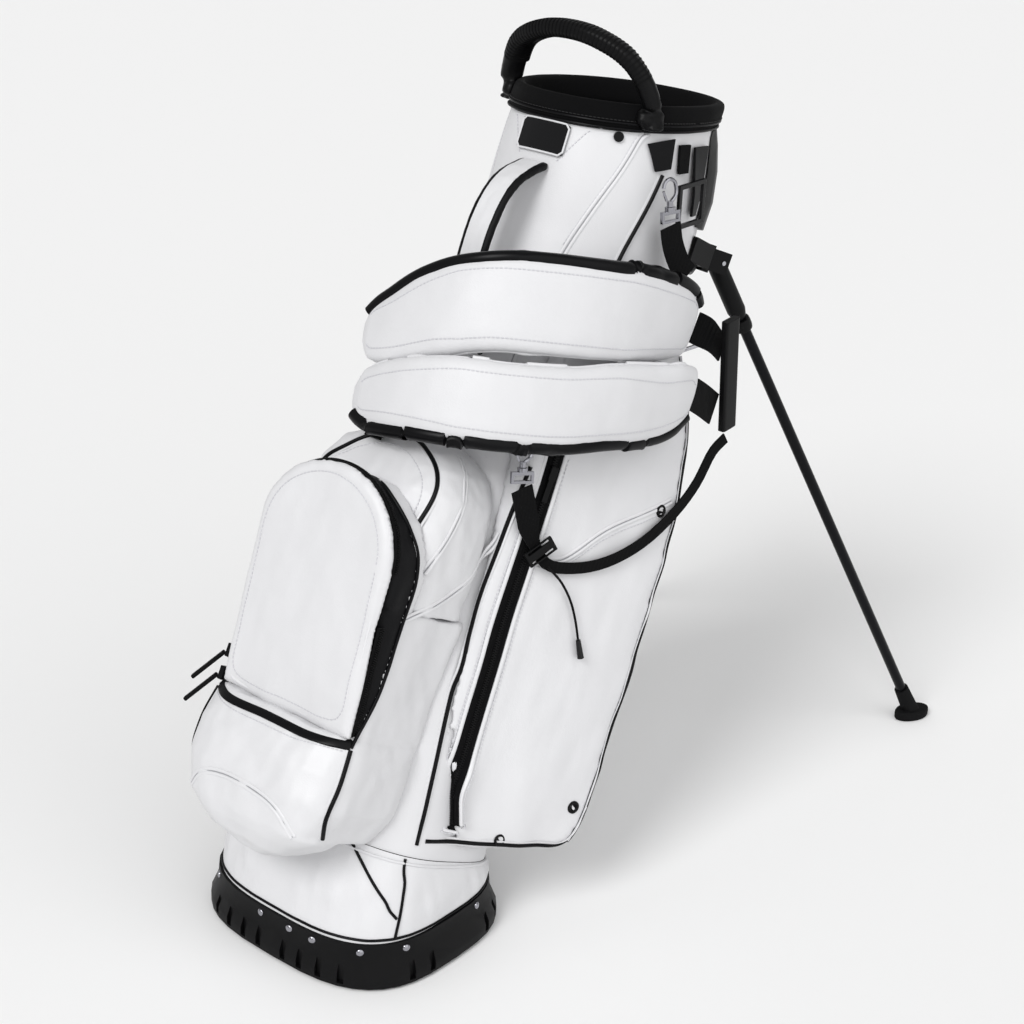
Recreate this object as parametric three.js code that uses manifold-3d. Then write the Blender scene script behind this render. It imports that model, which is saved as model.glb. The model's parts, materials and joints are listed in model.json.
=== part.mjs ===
// Golf stand bag leaning back on its two deployed legs. Millimetres, +Z up, base tray flat on the ground.
// +Y is the way the bag leans (legs and spine), -Y is the ball pocket side, X = 0 is the plane of
// symmetry.
// Everything above the base tray is drawn with the bag standing upright and is then leaned about
// the tilt pin.
import * as THREE from 'three';
import { mergeVertices } from 'three/addons/utils/BufferGeometryUtils.js';
import Module from 'manifold-3d';

const wasm = await Module();
wasm.setup();

// ----------------------------------------------------------------------------------- driving sizes
const GAP = 0.4; // clearance kept between solids that touch on the real bag
const RING = 40; // points around a body section
const LEAN = THREE.MathUtils.degToRad(26.9); // lean of the bag on its deployed legs
const TILT_PIN = { y: 96, z: 50, radius: 4, length: 150 }; // hinge line between base tray and bag

const BASE = { halfWidth: 136, halfDepth: 117, flare: 8, height: 50, wall: 6, floor: 5, power: 3 };
const RIB_SLOT = {
  bearings: [8, 18, 28, 38, 67, 77, 112, 122],
  width: 7,
  height: 20,
  middle: 17,
  depth: 5,
};
// tray ear that carries the tilt pin
const TILT_LUG = { x: 66, width: 8, depth: 14, height: 22, rootDepth: 22, rootHeight: 14 };
const TILT_KNUCKLE = { x: 54, width: 10, depth: 14, height: 24 }; // ear of the bag floor on the same pin

// Body sections from the bottom up: height, centre along Y, half-width, half-depth, corner power,
// slant of the section
const BODY = [
  { z: 62, cy: 2, rx: 124, ry: 110, power: 3.0, slant: 0 },
  { z: 130, cy: 5, rx: 116, ry: 107, power: 3.0, slant: 0 },
  { z: 240, cy: 9, rx: 108, ry: 105, power: 3.0, slant: 0 },
  { z: 420, cy: 15, rx: 103, ry: 107, power: 2.8, slant: 0 },
  { z: 620, cy: 25, rx: 101, ry: 113, power: 2.5, slant: 0.04 },
  { z: 720, cy: 36, rx: 102, ry: 121, power: 2.35, slant: 0.12 },
  { z: 790, cy: 27, rx: 102, ry: 116, power: 2.3, slant: 0.24 },
  { z: 842, cy: 13, rx: 99, ry: 105, power: 2.2, slant: 0.36 },
];
const BODY_WALL = 3;
const CUFF_STATION = BODY[BODY.length - 1];

const CUFF = { height: 28, wall: 12, overhang: 3.5 };
const LEG = {
  hinge: new THREE.Vector3(86, 158, 742), // in the upright bag
  ankle: new THREE.Vector3(228, 774, 28), // in place on the ground
  foldedSplay: 0.061, // inward and outward lean of the folded leg, per unit of its length
  foldedStandOff: 0.087,
  tubeRadius: 6.2,
  sleeveRadius: 10.5,
  sleeveLength: 78,
  collarAt: 88,
};
const PAD = { thickness: 26 };
const SIDES = [{ side: 1, label: 'right' }, { side: -1, label: 'left' }];

// ---------------------------------------------------------------------------------- shared helpers
const mix = (a, b, t) => a + (b - a) * t;

/** Moves a point of the upright bag to where it is with the bag leaned back. */
function leaned(p) {
  const y = p.y - TILT_PIN.y;
  const z = p.z - TILT_PIN.z;
  return new THREE.Vector3(
    p.x,
    TILT_PIN.y + y * Math.cos(LEAN) + z * Math.sin(LEAN),
    TILT_PIN.z - y * Math.sin(LEAN) + z * Math.cos(LEAN),
  );
}

/** Stands a geometry that is in place on the ground back up with the upright bag. */
const TO_UPRIGHT = new THREE.Matrix4().makeTranslation(0, TILT_PIN.y, TILT_PIN.z)
  .multiply(new THREE.Matrix4().makeRotationX(LEAN))
  .multiply(new THREE.Matrix4().makeTranslation(0, -TILT_PIN.y, -TILT_PIN.z));

/** Closed superellipse outline in plan, counter-clockwise. */
function ovalRing(rx, ry, power, cy, heightAt, count = RING) {
  return Array.from({ length: count }, (_, i) => {
    const a = (i / count) * Math.PI * 2;
    const c = Math.cos(a);
    const s = Math.sin(a);
    const x = rx * Math.sign(c) * Math.abs(c) ** (2 / power);
    const y = cy + ry * Math.sign(s) * Math.abs(s) ** (2 / power);
    return new THREE.Vector3(x, y, heightAt(y));
  });
}

/** Skins a list of equal rings; the ends are capped, or the last ring joins the first. */
function loft(rings, joined = false) {
  const count = rings[0].length;
  const points = rings.flat();
  const faces = [];
  const last = joined ? rings.length : rings.length - 1;
  for (let r = 0; r < last; r += 1) {
    const next = (r + 1) % rings.length;
    for (let i = 0; i < count; i += 1) {
      const j = (i + 1) % count;
      const a = r * count + i;
      const b = r * count + j;
      const c = next * count + j;
      const d = next * count + i;
      faces.push(a, b, c, a, c, d);
    }
  }
  if (!joined) {
    for (const [r, flip] of [[0, true], [rings.length - 1, false]]) {
      const centre = rings[r].reduce((sum, p) => sum.add(p), new THREE.Vector3()).divideScalar(count);
      const hub = points.push(centre) - 1;
      for (let i = 0; i < count; i += 1) {
        const a = r * count + i;
        const b = r * count + ((i + 1) % count);
        faces.push(...(flip ? [hub, b, a] : [hub, a, b]));
      }
    }
  }
  return outward(points, faces);
}

/** Builds a geometry from points and faces, turned so that its faces point out. */
function outward(points, faces) {
  let volume = 0;
  for (let i = 0; i < faces.length; i += 3) {
    const [a, b, c] = [points[faces[i]], points[faces[i + 1]], points[faces[i + 2]]];
    volume += a.dot(new THREE.Vector3().crossVectors(b, c));
  }
  if (volume < 0) faces.reverse();
  const geometry = new THREE.BufferGeometry();
  geometry.setAttribute(
    'position',
    new THREE.Float32BufferAttribute(points.flatMap((p) => p.toArray()), 3),
  );
  geometry.setIndex(faces);
  return geometry;
}

/** Turns a closed geometry into a manifold solid. */
function solid(geometry) {
  const bare = geometry.clone();
  bare.deleteAttribute('normal');
  bare.deleteAttribute('uv');
  const merged = mergeVertices(bare, 1e-4);
  return new wasm.Manifold(new wasm.Mesh({
    numProp: 3,
    vertProperties: new Float32Array(merged.attributes.position.array),
    triVerts: new Uint32Array(merged.index.array),
  }));
}

/** Turns a manifold solid back into a geometry. */
function fromSolid(body) {
  const mesh = body.getMesh();
  const geometry = new THREE.BufferGeometry();
  geometry.setAttribute('position', new THREE.BufferAttribute(mesh.vertProperties, 3));
  geometry.setIndex(new THREE.BufferAttribute(mesh.triVerts, 1));
  return geometry;
}

const cut = (geometry, ...tools) =>
  fromSolid(tools.reduce((body, t) => body.subtract(solid(t)), solid(geometry)));
const join = (...pieces) => fromSolid(pieces.map(solid).reduce((a, b) => a.add(b)));

/** Box centred on a point. */
function boxAt(x, y, z, w, d, h) {
  return new THREE.BoxGeometry(w, d, h).translate(x, y, z);
}

/** Cylinder lying along X. */
const axisPin = (radius, length, sides = 16) =>
  new THREE.CylinderGeometry(radius, radius, length, sides).rotateZ(Math.PI / 2);

/** Round bar between two points. */
function bar(from, to, radius, sides = 16, endRadius = radius) {
  const along = to.clone().sub(from);
  const geometry = new THREE.CylinderGeometry(endRadius, radius, along.length(), sides);
  geometry.translate(0, along.length() / 2, 0);
  const turn = new THREE.Quaternion().setFromUnitVectors(new THREE.Vector3(0, 1, 0), along.normalize());
  return geometry.applyQuaternion(turn).translate(from.x, from.y, from.z);
}

/** Round tube along a smooth curve through points. */
function tube(points, radius, steps, sides = 10, closed = false) {
  const shape = new THREE.Shape();
  shape.absarc(0, 0, radius, 0, Math.PI * 2);
  const path = new THREE.CatmullRomCurve3(points, closed, 'centripetal');
  return new THREE.ExtrudeGeometry(shape, { steps, extrudePath: path, curveSegments: sides / 2 });
}

/**
 * Strip or pad along a smooth curve: at each step a rounded section `width` wide and `thickness` thick,
 * its flat side facing `face` (a function of the step). `size` scales width and thickness along the way.
 */
function strip(
  points,
  face,
  width,
  thickness,
  steps,
  { corner = 0, size = () => [1, 1], sides = 4 } = {},
) {
  const path = new THREE.CatmullRomCurve3(points, false, 'centripetal');
  const rings = [];
  for (let i = 0; i <= steps; i += 1) {
    const t = i / steps;
    const at = path.getPoint(t);
    const tangent = path.getTangent(t);
    const out = face(t, at).clone();
    out.addScaledVector(tangent, -out.dot(tangent)).normalize();
    const side = new THREE.Vector3().crossVectors(tangent, out);
    const [ws, ts] = size(t);
    rings.push(section(width * ws, thickness * ts, corner, sides).map(([u, v]) => at.clone()
      .addScaledVector(side, u)
      .addScaledVector(out, v)));
  }
  return loft(rings);
}

/** Points of a flat rectangle (corner 0) or of a pillow-shaped section. */
function section(width, thickness, corner, sides) {
  if (corner === 0) {
    return [
      [-width / 2, -thickness / 2],
      [width / 2, -thickness / 2],
      [width / 2, thickness / 2],
      [-width / 2, thickness / 2],
    ];
  }
  return Array.from({ length: sides }, (_, i) => {
    const a = ((i + 0.5) / sides) * Math.PI * 2;
    const c = Math.cos(a);
    const s = Math.sin(a);
    return [
      (width / 2) * Math.sign(c) * Math.abs(c) ** (2 / corner),
      (thickness / 2) * Math.sign(s) * Math.abs(s) ** (2 / corner),
    ];
  });
}

/** Section of the body at a height, grown outward by `grow`. */
function bodyAt(z) {
  const k = Math.max(1, BODY.findIndex((s) => s.z >= z));
  const hi = BODY[z > CUFF_STATION.z ? BODY.length - 1 : k];
  const lo = BODY[BODY.indexOf(hi) - 1];
  const t = Math.min(1, Math.max(0, (z - lo.z) / (hi.z - lo.z)));
  return {
    cy: mix(lo.cy, hi.cy, t),
    rx: mix(lo.rx, hi.rx, t),
    ry: mix(lo.ry, hi.ry, t),
    power: mix(lo.power, hi.power, t),
    slant: mix(lo.slant, hi.slant, t),
  };
}

/**
 * Point on an oval wall: bearing in degrees from the front (-Y) towards +X, standing `off` outside
 * the wall.
 */
function onOval({ cy, rx, ry, power }, bearing, z, off = 0) {
  const a = THREE.MathUtils.degToRad(bearing);
  const dx = Math.sin(a);
  const dy = -Math.cos(a);
  const r = ((Math.abs(dx) / rx) ** power + (Math.abs(dy) / ry) ** power) ** (-1 / power);
  const normal = new THREE.Vector3(
    Math.sign(dx) * (Math.abs(r * dx) / rx) ** (power - 1) / rx,
    Math.sign(dy) * (Math.abs(r * dy) / ry) ** (power - 1) / ry,
    0,
  ).normalize();
  const at = new THREE.Vector3(r * dx, cy + r * dy, z).addScaledVector(normal, off);
  return { at, normal };
}

const onBody = (bearing, z, off = 0) => onOval(bodyAt(z), bearing, z, off);

const bodyRing = (s, grow, lift = 0) => ovalRing(
  s.rx + grow,
  s.ry + grow,
  s.power,
  s.cy,
  (y) => s.z + lift + s.slant * (y - s.cy),
);

// ------------------------------------------------------------------------------------- scene graph
const model = new THREE.Group();
const bag = new THREE.Group();
bag.position.set(0, TILT_PIN.y, TILT_PIN.z);
bag.rotation.x = -LEAN;
const bagParts = new THREE.Group();
bagParts.position.set(0, -TILT_PIN.y, -TILT_PIN.z);
bag.add(bagParts);
model.add(bag);

/** Adds one named piece to a group. */
function add(group, name, geometry, colour, roughness = 0.6, metalness = 0) {
  const mesh = new THREE.Mesh(
    geometry,
    new THREE.MeshStandardMaterial({ color: colour, roughness, metalness }),
  );
  mesh.name = name;
  group.add(mesh);
  return mesh;
}

const WHITE = 0xe9e9e9;
const BLACK = 0x161616;
const CHROME = 0xc8c8cc;
const STEEL = 0x9a9a9e;

// --------------------------------------------------------------------------------------- base tray
/** Upright recess between two ribs of the base wall. */
function ribSlot(bearing) {
  const { width, height, middle, depth } = RIB_SLOT;
  const oval = {
    cy: 0,
    rx: BASE.halfWidth + BASE.flare,
    ry: BASE.halfDepth + BASE.flare,
    power: BASE.power,
  };
  const { at, normal } = onOval(oval, bearing, middle);
  return boxAt(0, 0, 0, width, depth * 2, height).rotateZ(Math.atan2(normal.y, normal.x) + Math.PI / 2)
    .translate(at.x, at.y, at.z);
}

/** Hole for the tilt pin, with running clearance. */
const tiltBore = () =>
  axisPin(TILT_PIN.radius + GAP, TILT_PIN.length * 2, 20).translate(0, TILT_PIN.y, TILT_PIN.z);

function baseTray() {
  const { halfWidth, halfDepth, flare, height, wall, floor, power } = BASE;
  const ring = (grow, z) => ovalRing(halfWidth + grow, halfDepth + grow, power, 0, () => z);
  const outer = [ring(flare - 4, 0), ring(flare, 4), ring(flare, 16), ring(1, 34), ring(0, height)];
  const inner = [ring(-wall, height), ring(-wall, floor)];
  const slots = RIB_SLOT.bearings.flatMap((bearing) => [ribSlot(bearing), ribSlot(-bearing)]);
  const lugs = SIDES.flatMap(({ side }) => [
    boxAt(side * TILT_LUG.x, TILT_PIN.y, TILT_PIN.z - 5, TILT_LUG.width, TILT_LUG.depth, TILT_LUG.height),
    boxAt(
      side * TILT_LUG.x,
      TILT_PIN.y + 4,
      TILT_PIN.z - 9,
      TILT_LUG.width,
      TILT_LUG.rootDepth,
      TILT_LUG.rootHeight,
    ),
  ]);
  return cut(join(loft([...outer, ...inner]), ...lugs), tiltBore(), ...slots);
}

function tiltPin() {
  const half = TILT_PIN.length / 2;
  return bar(
    new THREE.Vector3(-half, TILT_PIN.y, TILT_PIN.z),
    new THREE.Vector3(half, TILT_PIN.y, TILT_PIN.z),
    TILT_PIN.radius,
  );
}

// ---------------------------------------------------------------------------------------- bag body
function gussetSkirt() {
  const wall = 2.4;
  const rim = (grow) => ovalRing(
    BASE.halfWidth - 3 + grow,
    BASE.halfDepth - 3 + grow,
    BASE.power,
    0,
    () => BASE.height + GAP,
  );
  const hem = (grow) => bodyRing(BODY[0], grow, -GAP).map(leaned);
  const between = (low, high, t, bulge) => low.map((p, i) => {
    const q = p.clone().lerp(high[i], t);
    const out = new THREE.Vector3(p.x, p.y, 0).normalize();
    return q.addScaledVector(out, bulge);
  });
  const outer = [rim(0), between(rim(0), hem(0), 0.35, 3), between(rim(0), hem(0), 0.7, 3), hem(0)];
  const inner = [
    hem(-wall),
    between(rim(-wall), hem(-wall), 0.7, 3),
    between(rim(-wall), hem(-wall), 0.35, 3),
    rim(-wall),
  ];
  return loft([...outer, ...inner], true);
}

function bodyShell() {
  const outer = BODY.map((s) => bodyRing(s, 0));
  const inner = BODY.map((s) => bodyRing(s, -BODY_WALL)).reverse();
  return loft([...outer, ...inner], true);
}

/**
 * The hollow inside of the body as a solid, shrunk by `inset` from the outside, up to `top` below
 * the cuff.
 */
function bodyBore(inset, top) {
  return loft([...BODY.map((s) => bodyRing(s, -inset)), bodyRing(CUFF_STATION, -inset, top)]);
}

/** The body filled solid and grown, used to seat pockets and trims against the wall. */
function bodyCore(grow = GAP) {
  return loft([
    bodyRing({ ...BODY[0], z: 20 }, grow),
    ...BODY.map((s) => bodyRing(s, grow)),
    bodyRing(CUFF_STATION, grow, 120),
  ]);
}

function cuff() {
  const { height, wall, overhang } = CUFF;
  const at = (grow, lift) => bodyRing(CUFF_STATION, grow, lift);
  return loft([
    at(overhang - 1, GAP),
    at(overhang, 3),
    at(overhang, height - 4),
    at(overhang - 3, height),
    at(overhang - wall + 3, height),
    at(overhang - wall, height - 4),
    at(overhang - wall, GAP),
  ], true);
}

/** Filled outline of the cuff, grown, used to seat the top handle on it. */
function cuffCore() {
  const { height, overhang } = CUFF;
  return loft([
    bodyRing(CUFF_STATION, overhang + GAP, -30),
    bodyRing(CUFF_STATION, overhang + GAP, height + GAP),
  ]);
}

const CELLS = { rows: [-36, 34], barHalf: 4 };

function dividerGrid() {
  const slab = loft([bodyRing(CUFF_STATION, 20, -16), bodyRing(CUFF_STATION, 20, -GAP)]);
  const plate = fromSolid(solid(slab).intersect(solid(bodyBore(BODY_WALL + GAP, 20))));
  const wells = loft([bodyRing(CUFF_STATION, -12, -60), bodyRing(CUFF_STATION, -12, 60)]);
  const bars = [
    boxAt(0, 0, 840, CELLS.barHalf * 2, 400, 400),
    ...CELLS.rows.map((y) => boxAt(0, CUFF_STATION.cy + y, 840, 400, CELLS.barHalf * 2, 400)),
  ];
  return cut(plate, cut(wells, ...bars));
}

function dividerPanels() {
  const thickness = 2.4;
  const ends = loft([bodyRing({ ...BODY[0], z: 70 }, 40), bodyRing(CUFF_STATION, 40, -17)]);
  const panels = [
    boxAt(0, 0, 450, thickness, 300, 900),
    ...CELLS.rows.map((y) => boxAt(0, CUFF_STATION.cy + y, 450, 300, thickness, 900)),
  ];
  const crossed = panels.map(solid).reduce((a, b) => a.add(b));
  return fromSolid(crossed.intersect(solid(ends)).intersect(solid(bodyBore(BODY_WALL + 1.2, 20))));
}

function floorPlate() {
  const at = (z, grow) => bodyRing({ ...BODY[0], z }, grow);
  const plate = loft([at(64, -BODY_WALL - 1), at(69, -BODY_WALL - 1)]);
  const knuckles = SIDES.map(({ side }) => boxAt(
    side * TILT_KNUCKLE.x,
    TILT_PIN.y,
    TILT_PIN.z + 5,
    TILT_KNUCKLE.width,
    TILT_KNUCKLE.depth,
    TILT_KNUCKLE.height,
  ));
  return cut(join(plate, ...knuckles), tiltBore());
}

function topHandle() {
  const arch = [
    new THREE.Vector3(-88, -46, 826),
    new THREE.Vector3(-88, -58, 852),
    new THREE.Vector3(-68, -84, 880),
    new THREE.Vector3(-34, -99, 892),
    new THREE.Vector3(0, -103, 895),
  ];
  const points = [...arch, ...arch.slice(0, -1).reverse().map((p) => new THREE.Vector3(-p.x, p.y, p.z))];
  const foot = (t) => 1 + 0.35 * Math.max(0, 1 - Math.min(t, 1 - t) / 0.08);
  const arm = strip(points, () => new THREE.Vector3(0, -0.35, 0.94), 25, 17, 30, {
    corner: 2.8,
    sides: 10,
    size: (t) => [foot(t), 1],
  });
  return cut(arm, cuffCore(), bodyCore());
}

/** Crescent of wall standing behind the body between two bearings. */
function crescent(fromBearing, toBearing, stations, count = 16) {
  return loft(stations.map(({ z, slant = 0, off, inner = -2 }) => {
    const arc = Array.from({ length: count + 1 }, (_, i) => mix(fromBearing, toBearing, i / count));
    const place = (bearing, outset) => {
      const p = onBody(bearing, z, outset).at;
      p.z += slant * (p.y - bodyAt(z).cy);
      return p;
    };
    const share = (bearing) => (bearing - fromBearing) / (toBearing - fromBearing);
    const edge = (bearing) => Math.sin(share(bearing) * Math.PI) ** 0.4;
    return [
      ...arc.map((b) => place(b, inner + (off - inner) * (0.25 + 0.75 * edge(b)))),
      ...arc.reverse().map((b) => place(b, inner)),
    ];
  }));
}

function rearHousing() {
  const shell = crescent(118, 242, [
    { z: 756, slant: 0.1, off: 9 },
    { z: 778, slant: 0.2, off: 12 },
    { z: 804, slant: 0.28, off: 11 },
    { z: 826, slant: 0.34, off: 8 },
    { z: 840.6, slant: 0.36, off: 5 },
  ]);
  return cut(shell, bodyCore());
}

// ------------------------------------------------------------------------------------------- stand
const mirrorX = (p, side) => new THREE.Vector3(p.x * side, p.y, p.z);

/**
 * Hinge point, deployed direction, folded direction and hinge axis of one leg, all in place on the
 * ground.
 */
function legFrame(side) {
  const hinge = leaned(mirrorX(LEG.hinge, side));
  const ankle = mirrorX(LEG.ankle, side);
  const along = ankle.clone().sub(hinge);
  const length = along.length();
  along.normalize();
  const foldedUpright = new THREE.Vector3(-side * LEG.foldedSplay, LEG.foldedStandOff, -1).normalize();
  const folded = leaned(foldedUpright).sub(leaned(new THREE.Vector3()));
  const axis = new THREE.Vector3().crossVectors(along, folded).normalize();
  return { hinge, ankle, along, folded, axis, length, angle: along.angleTo(folded) };
}

/** Places a shape drawn along +Y from the hinge, with its own +X on the hinge axis. */
function onLeg(geometry, leg) {
  const across = new THREE.Vector3().crossVectors(leg.axis, leg.along);
  const basis = new THREE.Matrix4().makeBasis(leg.axis, leg.along, across);
  basis.setPosition(leg.hinge);
  return geometry.applyMatrix4(basis);
}

const turned = (profile, sides) =>
  new THREE.LatheGeometry(profile.map(([r, y]) => new THREE.Vector2(r, y)), sides);

const BOLT = { radius: 2.6, hole: 3.2, cheekGap: 12, cheek: 4 };

function legSleeve(leg) {
  const { sleeveRadius: r, sleeveLength: l } = LEG;
  const body = turned([[0, -r], [r * 0.7, -r * 0.72], [r, 0], [r, l - 10], [r - 2.5, l], [0, l]], 18);
  return onLeg(cut(body, axisPin(BOLT.hole, 60)), leg);
}

function legTube(leg) {
  const from = LEG.sleeveLength + GAP;
  return onLeg(
    turned([[0, from], [LEG.tubeRadius, from], [LEG.tubeRadius, leg.length], [0, leg.length]], 16),
    leg,
  );
}

function legCollar(leg) {
  const inner = LEG.tubeRadius + GAP;
  const ring = turned([
    [inner, LEG.collarAt - 7],
    [10, LEG.collarAt - 7],
    [10.5, LEG.collarAt - 3],
    [10.5, LEG.collarAt + 3],
    [9.5, LEG.collarAt + 7],
    [inner, LEG.collarAt + 7],
    [inner, LEG.collarAt - 7],
  ], 16);
  const lug = cut(
    boxAt(0, LEG.collarAt, 13, 6, 9, 8),
    axisPin(1.8, 20, 10).translate(0, LEG.collarAt, 14),
  );
  return onLeg(join(ring, lug), leg);
}

function legFoot(leg) {
  const neck = bar(
    leg.ankle.clone().addScaledVector(leg.along, -20),
    leg.ankle.clone().addScaledVector(leg.along, 26),
    8.8,
    16,
    11,
  );
  const heading = Math.atan2(leg.along.y, leg.along.x);
  const sole = new THREE.Shape();
  sole.absellipse(0, 0, 24, 14, 0, Math.PI * 2);
  const pad = new THREE.ExtrudeGeometry(sole, {
    depth: 7,
    bevelEnabled: true,
    bevelThickness: 3,
    bevelSize: 3,
    bevelOffset: -3,
    bevelSegments: 2,
    curveSegments: 12,
  });
  const reach = leg.ankle.z * Math.tan(Math.acos(-leg.along.z));
  pad.translate(reach * 0.75, 0, 3).rotateZ(heading).translate(leg.ankle.x, leg.ankle.y, 0);
  const socket = bar(
    leg.ankle.clone().addScaledVector(leg.along, -40),
    leg.ankle.clone().addScaledVector(leg.along, GAP),
    LEG.tubeRadius + GAP,
  );
  const ground = boxAt(leg.ankle.x, leg.ankle.y, -50, 200, 200, 100);
  return cut(join(neck, pad), socket, ground);
}

function legBolt(leg) {
  const half = BOLT.cheekGap + BOLT.cheek + 1;
  const head = axisPin(5, 3, 12).translate(half + 1.2, 0, 0);
  return onLeg(join(axisPin(BOLT.radius, half * 2, 12), head), leg);
}

/** Fork that holds one leg: two cheeks and the web that joins them on the bag side. */
function legFork(leg) {
  const across = new THREE.Vector3().crossVectors(leg.axis, leg.folded);
  const basis = new THREE.Matrix4().makeBasis(leg.axis, leg.folded, across);
  basis.setPosition(leg.hinge);
  const cheeks = [1, -1].map((k) => boxAt(
    k * (BOLT.cheekGap + BOLT.cheek / 2),
    0,
    9,
    BOLT.cheek,
    24,
    34,
  ));
  const web = boxAt(0, 0, 22, (BOLT.cheekGap + BOLT.cheek) * 2, 30, 10);
  const fork = cut(join(...cheeks, web), axisPin(BOLT.radius + 0.4, 80));
  return fork.applyMatrix4(basis);
}

function legBracket(legs) {
  const band = crescent(
    122,
    238,
    [{ z: 718, off: 10 }, { z: 724, off: 13 }, { z: 748, off: 13 }, { z: 753, off: 11 }],
  );
  const arms = SIDES.map(({ side }) => boxAt(side * 84, 114, 740, 26, 40, 26));
  const forks = legs.map((leg) => {
    const sweep = onLeg(turned([[0, -13], [12, -13], [12, 300], [0, 300]], 18), leg);
    return cut(legFork(leg), sweep).applyMatrix4(TO_UPRIGHT);
  });
  return cut(join(band, ...arms, ...forks), bodyCore());
}

const CARRIAGE = { x: 24, y: 148, z: 600, depth: 16, height: 18 };

function actuatorRod() {
  return bar(
    new THREE.Vector3(0, 128, 125),
    new THREE.Vector3(0, CARRIAGE.y, CARRIAGE.z - CARRIAGE.height / 2 - GAP),
    3,
    12,
  );
}

function carriage() {
  return boxAt(0, CARRIAGE.y, CARRIAGE.z, CARRIAGE.x * 2, CARRIAGE.depth, CARRIAGE.height);
}

/**
 * Both ends of a strut in place on the ground: beside the carriage, and short of the lug on the leg
 * collar.
 */
function strutEnds(leg, side) {
  const foot = leaned(new THREE.Vector3(side * (CARRIAGE.x + 4), CARRIAGE.y, CARRIAGE.z));
  const across = new THREE.Vector3().crossVectors(leg.axis, leg.along);
  const lug = leg.hinge.clone().addScaledVector(leg.along, LEG.collarAt).addScaledVector(across, 22);
  return { foot, lug };
}

function strut(leg, side) {
  const { foot, lug } = strutEnds(leg, side);
  return bar(foot, lug, 2.4, 12);
}

// ----------------------------------------------------------------------------------------- pockets
const DOOR = {
  bottom: 168,
  shoulder: 333,
  radius: 86,
  thickness: 8,
  frontAtBottom: -190,
  leanOut: 0.145,
  lip: 9, // rim of the pocket that the closed door rests on
  wellBack: -112,
  wellTop: 292,
};

/** Front face of the ball pocket door at a height. */
const doorFront = (z) => DOOR.frontAtBottom - (z - DOOR.bottom) * DOOR.leanOut;

/** D-shaped outline in X and Z, shrunk by `inset`. */
function doorOutline(inset, steps = 14) {
  const r = DOOR.radius - inset;
  const points = [
    [-r, DOOR.bottom + inset],
    [0, DOOR.bottom + inset],
    [r, DOOR.bottom + inset],
    [r, (DOOR.bottom + DOOR.shoulder) / 2],
  ];
  for (let i = 0; i <= steps; i += 1) {
    const a = (i / steps) * Math.PI;
    points.push([r * Math.cos(a), DOOR.shoulder + (r - 4) * Math.sin(a)]);
  }
  points.push([-r, (DOOR.bottom + DOOR.shoulder) / 2]);
  return points;
}

function ballPocketDoor() {
  const layer = (inset, depth) => doorOutline(inset).map(([x, z]) => new THREE.Vector3(
    x,
    doorFront(z) + depth,
    z,
  ));
  return loft([layer(0, DOOR.thickness), layer(0, 3), layer(5, 0)]);
}

/** One plan section of a pocket: half-width, front and back along Y. */
const pocketRing = (z, half, front, back, power = 4) =>
  ovalRing(half, (back - front) / 2, power, (back + front) / 2, () => z, 32);

/** Accessory pocket before it is seated on the body, grown outward by `grow`. */
function accessoryBlock(grow = 0) {
  const at = (z, half, front) => pocketRing(z, half + grow, front - grow, -60);
  return loft([
    at(300 - grow, 94, -176),
    at(380, 93, -177),
    at(415, 88, -173),
    at(440, 74, -164),
    at(456, 52, -152),
    at(464 + grow, 26, -140),
  ]);
}

const accessoryPocket = () => cut(accessoryBlock(), bodyCore());

/**
 * Hollow of the ball pocket, open towards the door and stopping short of the accessory pocket above
 * it.
 */
function ballWell() {
  const layer = (y) => doorOutline(DOOR.lip).map(([x, z]) => new THREE.Vector3(x, y, z));
  const shaft = loft([layer(-260), layer(DOOR.wellBack)]);
  return cut(shaft, boxAt(0, -150, 400, 300, 400, (400 - DOOR.wellTop) * 2));
}

function ballPocket() {
  const behindDoor = (z) => doorFront(z) + DOOR.thickness + GAP;
  const arch = (z) => Math.sqrt(Math.max(
    0,
    1 - ((z - DOOR.shoulder) / (DOOR.radius - 2)) ** 2,
  )) * (DOOR.radius + 5);
  const belly = [
    pocketRing(26, 24, -178, -124, 3),
    pocketRing(36, 50, -193, -122, 3),
    pocketRing(50, 74, -204, -121, 3),
    pocketRing(61, 86, -209, -120, 3.4),
    pocketRing(63, 87, -210, -60, 4),
    pocketRing(96, 100, -214, -60, 4),
    pocketRing(130, 101, -212, -60, 4),
    pocketRing(156, 98, -204, -60, 4),
    pocketRing(166, 95, -196, -60, 5),
    pocketRing(167.6, 91, behindDoor(167.6), -60, 8),
    pocketRing(299, 91, behindDoor(299), -60, 8),
    pocketRing(299.4, 91, behindDoor(299.4), -150, 8),
  ];
  const upper = [
    DOOR.shoulder,
    360,
    382,
    400,
    411,
  ].map((z) => pocketRing(z, arch(z), behindDoor(z), -150, 8));
  return cut(loft([...belly, ...upper]), bodyCore(), accessoryBlock(GAP), ballWell());
}

// Plan of the side pocket from the bottom up: front edge, rear edge and how far the face bulges
const SIDE_POCKET = [
  { z: 70, front: [98, -40], rear: [156, 80], bulge: 5, slope: 0.2 },
  { z: 78, front: [100, -44], rear: [173, 103], bulge: 7, slope: 0.16 },
  { z: 100, front: [101, -50], rear: [180, 117], bulge: 8, slope: 0.08 },
  { z: 150, front: [102, -56], rear: [182, 121], bulge: 9, slope: 0 },
  { z: 320, front: [103, -70], rear: [176, 123], bulge: 9, slope: 0 },
  { z: 470, front: [103, -74], rear: [165, 124], bulge: 8, slope: 0 },
  { z: 550, front: [102, -75], rear: [150, 122], bulge: 7, slope: 0 },
  { z: 600, front: [98, -68], rear: [134, 116], bulge: 4, slope: 0 },
  { z: 632, front: [93, -56], rear: [116, 106], bulge: 2, slope: 0 },
];

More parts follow.
